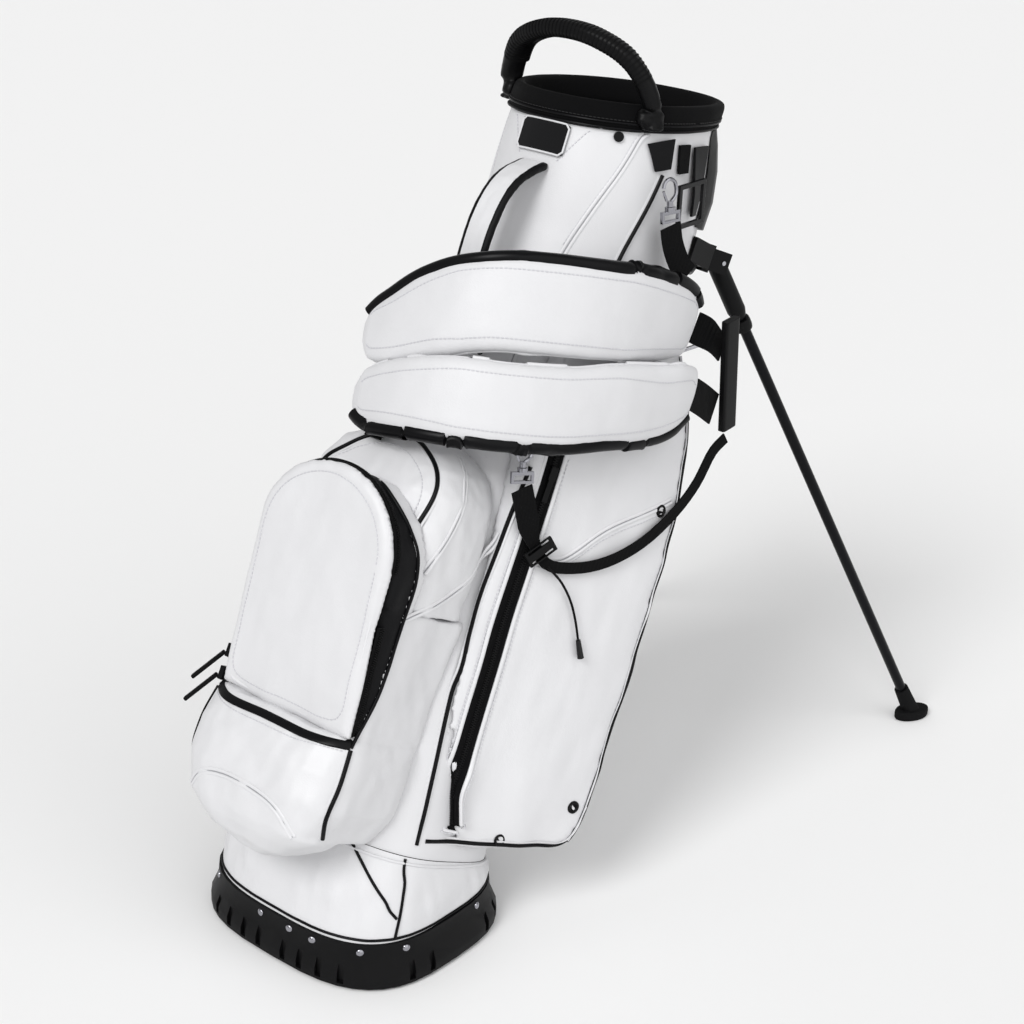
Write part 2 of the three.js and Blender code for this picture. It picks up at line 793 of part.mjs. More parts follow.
/** Point on the face of the side pocket: `t` runs from the front edge to the rear edge. */
function sidePocketFace(station, t, side = 1) {
  const { front, rear, bulge, slope, z } = station;
  const nx = rear[1] - front[1];
  const ny = -(rear[0] - front[0]);
  const n = Math.hypot(nx, ny);
  const out = bulge * 4 * t * (1 - t);
  const x = mix(front[0], rear[0], t) + (nx / n) * out;
  const y = mix(front[1], rear[1], t) + (ny / n) * out;
  return new THREE.Vector3(side * x, y, z + slope * (y - front[1]));
}

function apparelPocket(side) {
  const rings = SIDE_POCKET.map((station) => {
    const face = Array.from({ length: 13 }, (_, i) => sidePocketFace(station, i / 12, side));
    const back = [0.85, 0.6, 0.3].map((k) => [station.rear[0] * k, station.rear[1] - (1 - k) * 30]);
    const inner = [...back, [40, 0], [40, station.front[1] + 16], [75, station.front[1] + 4]];
    return [...face, ...inner.map(([x, y]) => new THREE.Vector3(
      side * x,
      y,
      station.z + station.slope * (y - station.front[1]),
    ))];
  });
  return cut(loft(rings), bodyCore());
}

/** Side pocket section at any height. */
function sidePocketAt(z) {
  const k = Math.max(1, SIDE_POCKET.findIndex((s) => s.z >= z));
  const [lo, hi] = [SIDE_POCKET[k - 1], SIDE_POCKET[k]];
  const t = (z - lo.z) / (hi.z - lo.z);
  return {
    z,
    slope: 0,
    front: [mix(lo.front[0], hi.front[0], t), mix(lo.front[1], hi.front[1], t)],
    rear: [mix(lo.rear[0], hi.rear[0], t), mix(lo.rear[1], hi.rear[1], t)],
    bulge: mix(lo.bulge, hi.bulge, t),
  };
}

const ZIP_AT = 0.13; // place of the side zip across the pocket face

/** Zip slider standing on a pocket face, its short pull hanging down the tape. */
function apparelSlider(side) {
  const z = 470;
  const at = sidePocketFace(sidePocketAt(z), ZIP_AT, side);
  const ahead = sidePocketFace(sidePocketAt(z), ZIP_AT + 0.02, side);
  const across = ahead.sub(at).normalize();
  const up = new THREE.Vector3(0, 0, 1);
  const out = new THREE.Vector3().crossVectors(across, up).multiplyScalar(side);
  const body = join(boxAt(0, 0, 2.6, 8, 14, 4), boxAt(0, -17, 3.6, 6, 26, 2));
  const basis = new THREE.Matrix4().makeBasis(across.clone().multiplyScalar(side), up, out);
  basis.setPosition(at.addScaledVector(out, 1.2));
  return body.applyMatrix4(basis);
}

// ------------------------------------------------------------------------------------- front trims
function grabHandle() {
  const points = [
    new THREE.Vector3(0, -74, 764),
    new THREE.Vector3(0, -98, 753),
    new THREE.Vector3(0, -126, 726),
    new THREE.Vector3(0, -137, 690),
    new THREE.Vector3(0, -137, 650),
    new THREE.Vector3(0, -127, 606),
    new THREE.Vector3(0, -102, 570),
    new THREE.Vector3(0, -78, 556),
  ];
  return cut(
    strip(points, () => new THREE.Vector3(0, -1, 0.2), 36, 9, 26, { corner: 4, sides: 10 }),
    bodyCore(),
  );
}

function badgePlate() {
  const points = [-14, -9, -4, 0, 4, 9, 14].map((b) => onBody(b, 787.5, 3.2).at);
  return cut(strip(points, (t, p) => new THREE.Vector3(p.x, p.y - 18, -7), 30, 2, 12), bodyCore());
}

/** Round stud standing on the body wall. */
function stud(bearing, z, radius, height) {
  const { at, normal } = onBody(bearing, z, -3);
  return cut(
    bar(at, at.clone().addScaledVector(normal, height + 3), radius, 20, radius * 0.85),
    bodyCore(),
  );
}

const SLIDERS = [
  { label: 'upper', x: -94, z: 196 },
  { label: 'lower', x: -94, z: 172 },
];

const SLIDER_TRACK_Y = -176;

function ballSlider({ x, z }) {
  return boxAt(x - 3.4, SLIDER_TRACK_Y, z, 6, 9, 14);
}

/** Cord pull of a zip slider: a moulded grip hanging outward and down from the slider. */
function ballPull({ x, z }) {
  const from = new THREE.Vector3(x - 10, SLIDER_TRACK_Y - 2, z - 4);
  const to = from.clone().add(new THREE.Vector3(-26, -4, -36));
  return strip(
    [from, from.clone().lerp(to, 0.5), to],
    () => new THREE.Vector3(-0.7, -0.6, 0.4),
    8,
    4.5,
    8,
    { corner: 3, sides: 8 },
  );
}

// ------------------------------------------------------------------------------------- carry strap
const v = (x, y, z) => new THREE.Vector3(x, y, z);

const PADS = {
  upper: {
    path: [v(-76, -164, 541), v(-34, -171, 556), v(17, -172, 586), v(62, -162, 606),
      v(102, -126, 621), v(131, -72, 636),
      v(140, -16, 648), v(141, 36, 656), v(137, 74, 659)],
    width: 92,
    ends: [0.56, 0.66],
  },
  lower: {
    path: [v(-52, -176, 478), v(3, -184, 494), v(52, -180, 506), v(99, -156, 517),
      v(134, -104, 533), v(152, -42, 554),
      v(160, 16, 570), v(163, 48, 583), v(159, 80, 592)],
    width: 80,
    ends: [0.7, 0.74],
  },
};

/** Outward from the bag's long axis, level with it. */
const awayFromAxis = (t, p) => new THREE.Vector3(p.x, p.y - 20, 0);

function strapPad({ path, width, ends }) {
  const size = (t) => {
    const end = Math.min(1, Math.min(t, 1 - t) / 0.3);
    const tip = Math.sqrt(Math.min(1, Math.min(t, 1 - t) / 0.04 + 0.2));
    return [
      mix(t < 0.5 ? ends[0] : ends[1], 1, Math.sin((end * Math.PI) / 2)) * tip,
      mix(0.62, 1, end) * tip,
    ];
  };
  return strip(path, awayFromAxis, width, PAD.thickness, 30, { corner: 3.2, sides: 14, size });
}

const HUB = { top: v(164, 100, 680), bottom: v(164, 166, 574), width: 24, thickness: 9 };

function strapHub() {
  return strip([
    HUB.top,
    HUB.top.clone().lerp(HUB.bottom, 0.5),
    HUB.bottom,
  ], () => v(1, 0, 0), HUB.width, HUB.thickness, 8, {
    corner: 6, sides: 12,
  });
}

/** Webbing from the end of a pad to the inner side of the hub. */
function padWeb(points) {
  return strip(points, awayFromAxis, 34, 2.4, 8);
}

const ADJUSTER = [
  v(163, 172, 564), v(162, 158, 546), v(165, 142, 508), v(168, 116, 474), v(166, 76, 432),
  v(155, 40, 402), v(143, 2, 386),
  v(132, -32, 383),
];
const RISER = [v(121, -52, 402), v(117, -66, 420), v(114.6, -78, 436), v(113.5, -87, 446.6)];
const SLIDE = { at: v(126.5, -42, 392.5), width: 34 };

/** Webbing tucked flat against the side pocket: its face looks out sideways. */
const sideways = (t, p) => v(1, p.y < 0 ? -0.45 : -0.3, 0);

function ladderSlider() {
  const lengthwise = RISER[0].clone().sub(ADJUSTER[ADJUSTER.length - 1]).normalize();
  const out = v(1, -0.45, 0);
  out.addScaledVector(lengthwise, -out.dot(lengthwise)).normalize();
  const across = new THREE.Vector3().crossVectors(lengthwise, out);
  const frame = cut(
    boxAt(0, 0, 0, SLIDE.width, 16, 3.6),
    boxAt(0, 5.2, 0, 27, 2.6, 9),
    boxAt(0, -5.2, 0, 27, 2.6, 9),
  );
  const basis = new THREE.Matrix4().makeBasis(across, lengthwise, out);
  basis.setPosition(SLIDE.at.clone().addScaledVector(out, 3.6));
  return frame.applyMatrix4(basis);
}

const HOOK = { barrel: 5.5, wire: 2, loop: 8.5, length: 34, gateWire: 1.5 };

/** Basis with +Z up the hook, +X across its loop and +Y out of the loop's plane. */
function hookBasis(from, up, face) {
  const z = up.clone().normalize();
  const y = face.clone().addScaledVector(z, -face.dot(z)).normalize();
  const x = new THREE.Vector3().crossVectors(y, z);
  return new THREE.Matrix4().makeBasis(x, y, z).setPosition(from);
}

/** Rectangular eye that the webbing passes through, with the swivel barrel on top of it. */
function swivelEye() {
  const eye = cut(boxAt(0, 0, -5, 24, 4, 12), boxAt(0, 0, -5.4, 18.5, 9, 5.6));
  return join(eye, bar(v(0, 0, 0.5), v(0, 0, 5), HOOK.barrel, 14));
}

/** Snap hook body: neck and open loop of wire, without its gate. */
function hookLoop() {
  const { wire, loop, length } = HOOK;
  const neck = bar(v(0, 0, 5.4), v(0, 0, 11), 3.4, 12);
  const bend = [
    v(0, 0, 9), v(-3, 0, 11.5), v(-loop * 0.9, 0, 16), v(-loop, 0, 22), v(
      -loop * 0.75,
      0,
      length - 4,
    ), v(0, 0, length - 1),
    v(loop * 0.75, 0, length - 4), v(loop, 0, 24.5),
  ];
  return join(neck, tube(bend, wire, 20, 8));
}

/** Sprung gate that closes the loop between its tip and the neck. */
function hookGate() {
  return bar(v(4.6, 0, 11.8), v(HOOK.loop, 0, 21.8), HOOK.gateWire, 8);
}

const UPPER = { from: v(119, -6, 757), up: v(-0.12, -0.45, 0.9), face: v(1, -0.25, 0) };
const LOWER = { from: v(112, -93, 462), up: v(-0.1, -0.3, 0.95), face: v(0.85, -0.5, 0) };

const hung = (geometry, place) => geometry.applyMatrix4(hookBasis(place.from, place.up, place.face));

/** Anchor ring and riveted tab that an upper hook clips onto. */
function anchorTab() {
  const tab = strip([
    onBody(64, 820, 1.9).at,
    onBody(66, 808, 1.9).at,
    onBody(68, 794, 1.9).at,
  ], awayFromAxis, 26, 3, 6, {
    size: (t) => [mix(1.25, 0.75, t), 1],
  });
  return cut(tab, bodyCore());
}

function towelLoop() {
  return cut(
    strip([onBody(84, 828, 2).at, onBody(85, 814, 2).at, onBody(86, 801, 2).at], awayFromAxis, 16, 3, 4),
    bodyCore(),
  );
}

const TOWEL = { at: v(116, 30, 775), size: 46, wire: 2.3 };

/** Rectangular ring hanging plumb from its top bar. */
function towelRing() {
  const centre = leaned(TOWEL.at);
  const half = TOWEL.size / 2;
  const outline = new THREE.Shape();
  outline.moveTo(-half, -half).lineTo(half, -half).lineTo(half, half).lineTo(-half, half).closePath();
  const inner = half - TOWEL.wire * 2;
  const hole = new THREE.Path();
  hole.moveTo(-inner, -inner).lineTo(-inner, inner).lineTo(inner, inner).lineTo(inner, -inner).closePath();
  outline.holes.push(hole);
  const ring = new THREE.ExtrudeGeometry(outline, { depth: TOWEL.wire * 1.6, bevelEnabled: false });
  ring.translate(0, 0, -TOWEL.wire * 0.8);
  return ring.rotateY(Math.PI / 2).rotateX(Math.PI / 2).translate(centre.x, centre.y, centre.z);
}

function gloveFlap() {
  const points = [
    onBody(103, 836, 2.5).at,
    onBody(104, 812, 3).at,
    onBody(105, 790, 3).at,
    onBody(107, 768, 3).at,
  ];
  return cut(
    strip(points, awayFromAxis, 32, 3, 10, { size: (t) => [mix(1, 0.5, t * t), 1] }),
    bodyCore(),
  );
}

const CORD = {
  route: [v(136.5, -32, 380), v(142.5, -11, 370), v(147, 12, 353), v(152, 24, 336), v(157, 33, 318)],
  radius: 1.3,
};

const drawCord = () => tube(CORD.route, CORD.radius, 18, 8);

function cordTip() {
  const end = CORD.route[CORD.route.length - 1];
  const along = end.clone().sub(CORD.route[CORD.route.length - 2]).normalize();
  const from = end.clone().addScaledVector(along, GAP);
  return bar(from, from.clone().addScaledVector(along, 20), 2.6, 12, 3.6);
}

// ---------------------------------------------------------------------------------------- assembly
const ground = model;
const legs = SIDES.map(({ side }) => legFrame(side));

add(ground, 'base_tray', baseTray(), BLACK, 0.55);
add(ground, 'tilt_pin', tiltPin(), STEEL, 0.4, 0.9);
add(ground, 'gusset_skirt', gussetSkirt(), WHITE, 0.7);
add(bagParts, 'body_shell', bodyShell(), WHITE, 0.5);
add(bagParts, 'floor_plate', floorPlate(), BLACK);
add(bagParts, 'divider_panels', dividerPanels(), BLACK, 0.9);
add(bagParts, 'divider_grid', dividerGrid(), BLACK, 0.9);
add(bagParts, 'cuff', cuff(), BLACK, 0.9);
add(bagParts, 'top_handle', topHandle(), BLACK, 0.5);
add(bagParts, 'rear_housing', rearHousing(), BLACK, 0.6);
add(bagParts, 'leg_bracket', legBracket(legs), BLACK, 0.5);
SIDES.forEach(({ label, side }, i) => {
  add(ground, `leg_bolt_${label}`, legBolt(legs[i]), STEEL, 0.3, 1);
  add(ground, `leg_sleeve_${label}`, legSleeve(legs[i]), BLACK, 0.5);
  add(ground, `leg_tube_${label}`, legTube(legs[i]), BLACK, 0.35, 0.6);
  add(ground, `leg_collar_${label}`, legCollar(legs[i]), BLACK, 0.5);
  add(ground, `leg_foot_${label}`, legFoot(legs[i]), BLACK, 0.8);
  add(ground, `strut_${label}`, strut(legs[i], side), STEEL, 0.3, 1);
  add(bagParts, `apparel_pocket_${label}`, apparelPocket(side), WHITE, 0.5);
  add(bagParts, `apparel_zip_slider_${label}`, apparelSlider(side), BLACK, 0.4, 0.5);
});
add(bagParts, 'actuator_rod', actuatorRod(), STEEL, 0.3, 1);
add(bagParts, 'carriage', carriage(), BLACK);
add(bagParts, 'grab_handle', grabHandle(), WHITE);
add(bagParts, 'badge_plate', badgePlate(), BLACK, 0.3);
add(bagParts, 'snap_button', stud(39, 808, 6, 2.4), BLACK, 0.3, 0.5);
add(bagParts, 'ball_pocket', ballPocket(), WHITE);
add(bagParts, 'ball_pocket_door', ballPocketDoor(), WHITE);
add(bagParts, 'accessory_pocket', accessoryPocket(), WHITE);
for (const slider of SLIDERS) {
  add(bagParts, `ball_zip_slider_${slider.label}`, ballSlider(slider), BLACK, 0.4, 0.6);
  add(bagParts, `ball_zip_pull_${slider.label}`, ballPull(slider), BLACK, 0.5);
}
add(bagParts, 'strap_pad_upper', strapPad(PADS.upper), WHITE);
add(bagParts, 'strap_pad_lower', strapPad(PADS.lower), WHITE);
add(bagParts, 'strap_hub', strapHub(), BLACK, 0.4);
add(bagParts, 'pad_web_upper', padWeb([v(138, 80, 660), v(146, 100, 658), v(154, 120, 650)]), BLACK, 0.9);
add(bagParts, 'pad_web_lower', padWeb([v(158, 86, 594), v(157, 110, 592), v(155, 142, 588)]), BLACK, 0.9);
add(
  bagParts,
  'adjuster_web',
  strip([...ADJUSTER, ...RISER], sideways, 24, 2, 44, {
    size: (t) => [mix(0.5, 1, THREE.MathUtils.clamp((t - 0.7) / 0.08, 0, 1)), 1],
  }),
  BLACK,
  0.9,
);
add(bagParts, 'ladder_slider', ladderSlider(), BLACK, 0.4);
add(bagParts, 'lower_swivel_eye', hung(swivelEye(), LOWER), CHROME, 0.15, 1);
add(bagParts, 'lower_hook', hung(hookLoop(), LOWER), CHROME, 0.15, 1);
add(bagParts, 'lower_hook_gate', hung(hookGate(), LOWER), CHROME, 0.15, 1);
add(bagParts, 'draw_cord', drawCord(), BLACK, 0.9);
add(bagParts, 'cord_tip', cordTip(), BLACK, 0.4);
add(
  bagParts,
  'upper_web',
  strip([v(120.6, 0.6, 744.2), v(122, 14, 728), v(127, 32, 712), v(131, 44, 706)], sideways, 26, 2.4, 12),
  BLACK,
  0.9,
);
add(bagParts, 'upper_swivel_eye', hung(swivelEye(), UPPER), CHROME, 0.15, 1);
add(bagParts, 'upper_hook', hung(hookLoop(), UPPER), CHROME, 0.15, 1);
add(bagParts, 'upper_hook_gate', hung(hookGate(), UPPER), CHROME, 0.15, 1);
add(bagParts, 'anchor_tab', anchorTab(), BLACK, 0.6);
add(bagParts, 'towel_loop', towelLoop(), BLACK, 0.9);
add(ground, 'towel_ring', towelRing(), BLACK, 0.4);
add(bagParts, 'glove_flap', gloveFlap(), BLACK, 0.7);

export default model;
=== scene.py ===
"""Golf stand bag leaning on its two legs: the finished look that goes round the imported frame.

Bag pieces are drawn in millimetres with the bag standing upright (+Y the leg side, -Y the ball pocket side)
and are then leaned back about the tilt pin, which is how they sit in the frame.
"""
import json
import logging
import math
from dataclasses import dataclass, field
from enum import Enum
from typing import Callable, Iterable, Sequence

import bmesh
import bpy
import numpy as np
from mathutils import Matrix, Vector, noise
from mathutils.bvhtree import BVHTree

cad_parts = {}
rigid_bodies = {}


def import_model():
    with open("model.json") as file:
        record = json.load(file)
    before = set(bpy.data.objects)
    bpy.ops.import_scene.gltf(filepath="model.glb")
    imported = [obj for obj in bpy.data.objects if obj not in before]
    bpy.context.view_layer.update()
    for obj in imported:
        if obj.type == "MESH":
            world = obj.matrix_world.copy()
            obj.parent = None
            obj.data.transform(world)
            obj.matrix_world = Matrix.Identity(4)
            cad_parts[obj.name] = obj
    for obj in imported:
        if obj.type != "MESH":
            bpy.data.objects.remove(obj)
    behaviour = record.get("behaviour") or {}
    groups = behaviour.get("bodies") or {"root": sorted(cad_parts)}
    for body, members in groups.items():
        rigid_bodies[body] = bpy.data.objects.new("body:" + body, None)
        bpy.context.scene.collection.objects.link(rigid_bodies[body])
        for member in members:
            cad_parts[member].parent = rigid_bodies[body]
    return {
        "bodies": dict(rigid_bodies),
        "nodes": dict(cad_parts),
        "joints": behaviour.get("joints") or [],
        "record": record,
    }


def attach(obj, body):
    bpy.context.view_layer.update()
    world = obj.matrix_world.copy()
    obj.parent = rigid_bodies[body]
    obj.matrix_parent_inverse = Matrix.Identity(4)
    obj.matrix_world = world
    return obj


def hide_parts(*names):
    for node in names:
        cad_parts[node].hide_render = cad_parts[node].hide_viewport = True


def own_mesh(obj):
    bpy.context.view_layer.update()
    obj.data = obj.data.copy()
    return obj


LOG = logging.getLogger("golf_bag")
Array = np.ndarray
Route = Sequence[Sequence[float]]
MM = 0.001

FLAT, ROUNDED_EDGE, HARD_EDGE = 1.5, 32, 34  # degrees: facets merged, edges rounded, edges kept crisp
LEAN = math.radians(26.9)  # lean of the bag on its deployed legs
TILT_PIN = (0.0, 96.0, 50.0)  # hinge line between base tray and bag, mm


# ------------------------------------------------------------------------------------------ shared shapes
def tilted(points: Array, angle: float) -> Array:
    """Turns points about the tilt pin.

    Args:
        points: Points in mm, one per row.
        angle: Radians; a positive angle leans the bag back.

    Returns:
        The turned points in mm.
    """
    p = np.atleast_2d(np.asarray(points, float)).copy()
    y, z = p[:, 1] - TILT_PIN[1], p[:, 2] - TILT_PIN[2]
    p[:, 1] = TILT_PIN[1] + y * math.cos(angle) + z * math.sin(angle)
    p[:, 2] = TILT_PIN[2] - y * math.sin(angle) + z * math.cos(angle)
    return p


def leaned(points: Array) -> Array:
    """Points of the upright bag, where they are with the bag leaned back."""
    return tilted(points, LEAN)


def raised(points: Array) -> Array:
    """Points of the leaning bag, moved back to the upright bag."""
    return tilted(points, -LEAN)


def unit(v: Array) -> Array:
    """Vectors scaled to length one."""
    v = np.asarray(v, float)
    return v / np.maximum(np.linalg.norm(v, axis=-1, keepdims=True), 1e-9)


def distances(path: Array) -> Array:
    """Distance along a path at each of its points."""
    return np.concatenate([[0], np.cumsum(np.linalg.norm(np.diff(path, axis=0), axis=1))])


def at_distance(d: float, far: Array, rows: Array) -> Array:
    """Values at distance `d`, from rows of values that belong to the distances `far`."""
    return np.array([np.interp(d, far, rows[:, k]) for k in range(3)])


def sideways(path: Array, out: Array) -> Array:
    """Directions across a path that lies on cloth with outward normals `out`."""
    return unit(np.cross(unit(np.gradient(path, axis=0)), out))


def outward(points: Array, centre: float) -> Array:
    """Level directions away from an upright axis at Y = `centre`."""
    return unit(np.column_stack([points[:, 0], points[:, 1] - centre, np.zeros(len(points))]))


def ease(rows: Array) -> None:
    """Evens out the rows between the first and the last, in place."""
    rows[1:-1] = (rows[:-2] + rows[1:-1] * 2 + rows[2:]) / 4


def link(name: str, mesh: bpy.types.Mesh) -> bpy.types.Object:
    """Puts a mesh in the scene as a named object."""
    piece = bpy.data.objects.new(name, mesh)
    bpy.context.scene.collection.objects.link(piece)
    return piece


def smooth_path(route: Route, count: int) -> Array:
    """Smooth curve through points.

    Args:
        route: Points that the curve passes through.
        count: How many points to return.

    Returns:
        Points along the curve, evenly shared between the spans of the route.
    """
    p = np.asarray(route, float)
    ext = np.vstack([2 * p[0] - p[1], p, 2 * p[-1] - p[-2]])
    out = []
    for t in np.linspace(0, len(p) - 1, count):
        i = min(int(t), len(p) - 2)
        w = t - i
        a, b, c, d = ext[i : i + 4]
        ab, bc, cd = (max(np.linalg.norm(u - v), 1e-6) ** 0.5 for u, v in ((b, a), (c, b), (d, c)))
        t1 = ((b - a) / ab - (c - a) / (ab + bc) + (c - b) / bc) * bc
        t2 = ((c - b) / bc - (d - b) / (bc + cd) + (d - c) / cd) * bc
        out.append(b + t1 * w + (3 * c - 3 * b - 2 * t1 - t2) * w**2 + (2 * b - 2 * c + t1 + t2) * w**3)
    return np.array(out)


def even_path(route: Route, step: float, closed: bool = False) -> Array:
    """Smooth curve through points, with points every `step` mm.

    Args:
        route: Points that the curve passes through.
        step: Distance between the points returned, mm.
        closed: True when the curve returns to its start.

    Returns:
        Evenly spaced points along the curve.
    """
    p = [list(q) for q in route]
    if closed:
        p = p + [p[0]]
    fine = smooth_path(p, len(p) * 24)
    far = distances(fine)
    count = max(3, int(round(far[-1] / step)) + 1)
    at = np.linspace(0, far[-1], count)
    even = np.stack([np.interp(at, far, fine[:, k]) for k in range(3)], axis=1)
    return even[:-1] if closed else even


def oval(rx: float, ry: float, power: float, cy: float, count: int) -> Array:
    """Closed superellipse in plan, counter-clockwise, as (x, y) rows."""
    a = np.arange(count) / count * 2 * math.pi
    c, s = np.cos(a), np.sin(a)
    x = rx * np.sign(c) * np.abs(c) ** (2 / power)
    y = cy + ry * np.sign(s) * np.abs(s) ** (2 / power)
    return np.stack([x, y], axis=1)


def pillow(width: float, thickness: float, corner: float, sides: int) -> Array:
    """Rounded cross-section, as (across, out) rows."""
    a = (np.arange(sides) + 0.5) / sides * 2 * math.pi
    c, s = np.cos(a), np.sin(a)
    across = width / 2 * np.sign(c) * np.abs(c) ** (2 / corner)
    out = thickness / 2 * np.sign(s) * np.abs(s) ** (2 / corner)
    return np.stack([across, out], axis=1)


def cord_section(width: float, sides: int = 10) -> Array:
    """Round cross-section of a cord or piping."""
    return pillow(width, width, 2, sides)


def ripple(points: Array, scale: Sequence[float], amount: float, seed: float = 0.0) -> Array:
    """Soft lumps of fabric: one noise value for each point.

    Args:
        points: Points in mm.
        scale: Length of a lump along each axis, mm.
        amount: Height of the lumps, mm.
        seed: Shifts the pattern.

    Returns:
        Heights in mm, one per point.
    """
    q = np.asarray(points, float) / np.asarray(scale, float) + seed
    return np.array([noise.noise(Vector(p)) for p in q]) * amount * 2


class Blank:
    """A mesh in the making, in mm: rows of points joined by quads, with a finish number on each face."""

    def __init__(self) -> None:
        """Starts empty."""
        self.points: list[Array] = []
        self.faces: list[tuple[int, ...]] = []
        self.finish_of: list[int] = []
        self.count = 0

    def add(self, points: Array, faces: Iterable[Sequence[int]], finish: int = 0) -> None:
        """Adds points and the faces between them.

        Args:
            points: Points in mm.
            faces: Faces counted from this call's first point.
            finish: Number of the finish in the piece's list.
        """
        faces = [tuple(i + self.count for i in f) for f in faces]
        self.points.append(np.asarray(points, float))
        self.faces += faces
        self.finish_of += [finish] * len(faces)
        self.count += len(points)

    def loft(self, rings: Sequence[Array], finish: int | Callable[[int, int], int] = 0, caps: bool = True,
             around: bool = True, joined: bool = False) -> None:
        """Skins equal rings of points.

        Args:
            rings: Rings of points in mm.
            finish: Finish number, or a function of (ring, side) that gives it.
            caps: Closes both ends.
            around: Joins each ring's last point to its first.
            joined: Joins the last ring to the first.
        """
        n, m = len(rings), len(rings[0])
        base = self.count
        self.points.append(np.vstack(rings))
        self.count += n * m
        for r in range(n if joined else n - 1):
            for i in range(m if around else m - 1):
                j, k = (i + 1) % m, (r + 1) % n
                self.faces.append((base + r * m + i, base + r * m + j, base + k * m + j, base + k * m + i))
                self.finish_of.append(finish(r, i) if callable(finish) else finish)
        if caps and around and not joined:
            first = finish(0, 0) if callable(finish) else finish
            last = finish(n - 2, 0) if callable(finish) else finish
            self.faces += [tuple(base + i for i in reversed(range(m))),
                           tuple(base + (n - 1) * m + i for i in range(m))]
            self.finish_of += [first, last]

    def sweep(self, path: Array, out: Array, section: Array | Callable[[float], Array], finish: int = 0,
              caps: bool = True, closed: bool = False) -> None:
        """Runs a cross-section along a path.

        Args:
            path: Points in mm.
            out: Outward direction at each point.
            section: Rows of (across, out), or a function of the share of the path that gives them.
            finish: Finish number.
            caps: Closes both ends.
            closed: The path returns to its start.
        """
        self.loft(swept(path, out, section, closed), finish, caps=caps and not closed, joined=closed)

    def tube(self, path: Array, radius: float | Callable[[float], float], sides: int = 10, finish: int = 0,
             closed: bool = False) -> None:
        """Round cord, wire or piping along a path."""
        path = np.asarray(path, float)
        tangent = unit(np.gradient(path, axis=0))
        out = np.cross(tangent, [0.13, 0.29, 0.95])
        thin = np.linalg.norm(out, axis=1) < 0.2
        out[thin] = np.cross(tangent[thin], [1.0, 0.1, 0.0])
        size = radius if callable(radius) else lambda _t: radius
        self.sweep(path, unit(out), lambda t: cord_section(2 * size(t), sides), finish, closed=closed)

    def lathe(self, profile: Sequence[Sequence[float]], origin: Sequence[float], axis: Sequence[float],
              sides: int = 32, finish: int = 0) -> None:
        """Turned part.

        Args:
            profile: Rows of (radius, distance along the axis) in mm.
            origin: Where the axis starts, mm.
            axis: Direction of the axis.
            sides: Points around.
            finish: Finish number.
        """
        z = unit(np.array(axis, float))
        x = unit(np.cross(z, [0.31, 0.17, 0.93] if abs(z[2]) < 0.9 else [1, 0.2, 0]))
        y = np.cross(z, x)
        a = np.arange(sides) / sides * 2 * math.pi
        circle = np.outer(np.cos(a), x) + np.outer(np.sin(a), y)
        self.loft([np.asarray(origin, float) + z * h + circle * max(r, 0.01) for r, h in profile], finish)

    def box(self, centre: Sequence[float], size: Sequence[float], turn: Array | None = None, bevel: float = 0.6,
            finish: int = 0) -> None:
        """Rounded block.

        Args:
            centre: Middle of the block, mm.
            size: Width, depth and height, mm.
            turn: Rows are the block's own X, Y and Z directions.
            bevel: Width of the rounded edges, mm.
            finish: Finish number.
        """
        basis = np.eye(3) if turn is None else np.asarray(turn, float)
        w, d, h = (s / 2 for s in size)
        b = min(bevel, w * 0.9, d * 0.9, h * 0.9)
        rings = []
        for z, inset in ((-h, b), (-h + b * 0.3, b * 0.3), (-h + b, 0), (h - b, 0), (h - b * 0.3, b * 0.3), (h, b)):
            x, y = w - inset, d - inset
            corner = [(x, y, 0.0), (-x, y, 90.0), (-x, -y, 180.0), (x, -y, 270.0)]
            ring = []
            for cx, cy, start in corner:
                for turn_by in (0, 45, 90):
                    a = math.radians(start + turn_by)
                    ring.append([cx - math.copysign(b, cx) + b * math.cos(a),
                                 cy - math.copysign(b, cy) + b * math.sin(a), z])
            rings.append(np.array(ring) @ basis + np.asarray(centre, float))
        self.loft(rings, finish)

    def build(self, name: str, finishes: Sequence["Finish"], upright: bool = True,
              sharp: float = 40.0) -> bpy.types.Object:
        """Makes the Blender object.

        Args:
            name: Name of the piece.
            finishes: Finishes, in the order of the finish numbers.
            upright: The points belong to the upright bag and are leaned back.
            sharp: Edges turned by more than this many degrees stay crisp.

        Returns:
            The object, in metres in the row frame.
        """
        points = np.vstack(self.points)
        points = (leaned(points) if upright else points) * MM
        mesh = bpy.data.meshes.new(name)
        mesh.from_pydata(points.tolist(), [], self.faces)
        dress(mesh, finishes, self.finish_of)
        mesh.validate()
        mesh.set_sharp_from_angle(angle=math.radians(sharp))
        return link(name, mesh)


def dress(mesh: bpy.types.Mesh, finishes: Sequence["Finish"], numbers: Sequence[int]) -> None:
    """Gives a mesh its finishes, one number for each face, and smooth shading."""
    for finish in finishes:
        mesh.materials.append(finish.make())
    mesh.polygons.foreach_set("material_index", numbers)
    mesh.polygons.foreach_set("use_smooth", [True] * len(mesh.polygons))


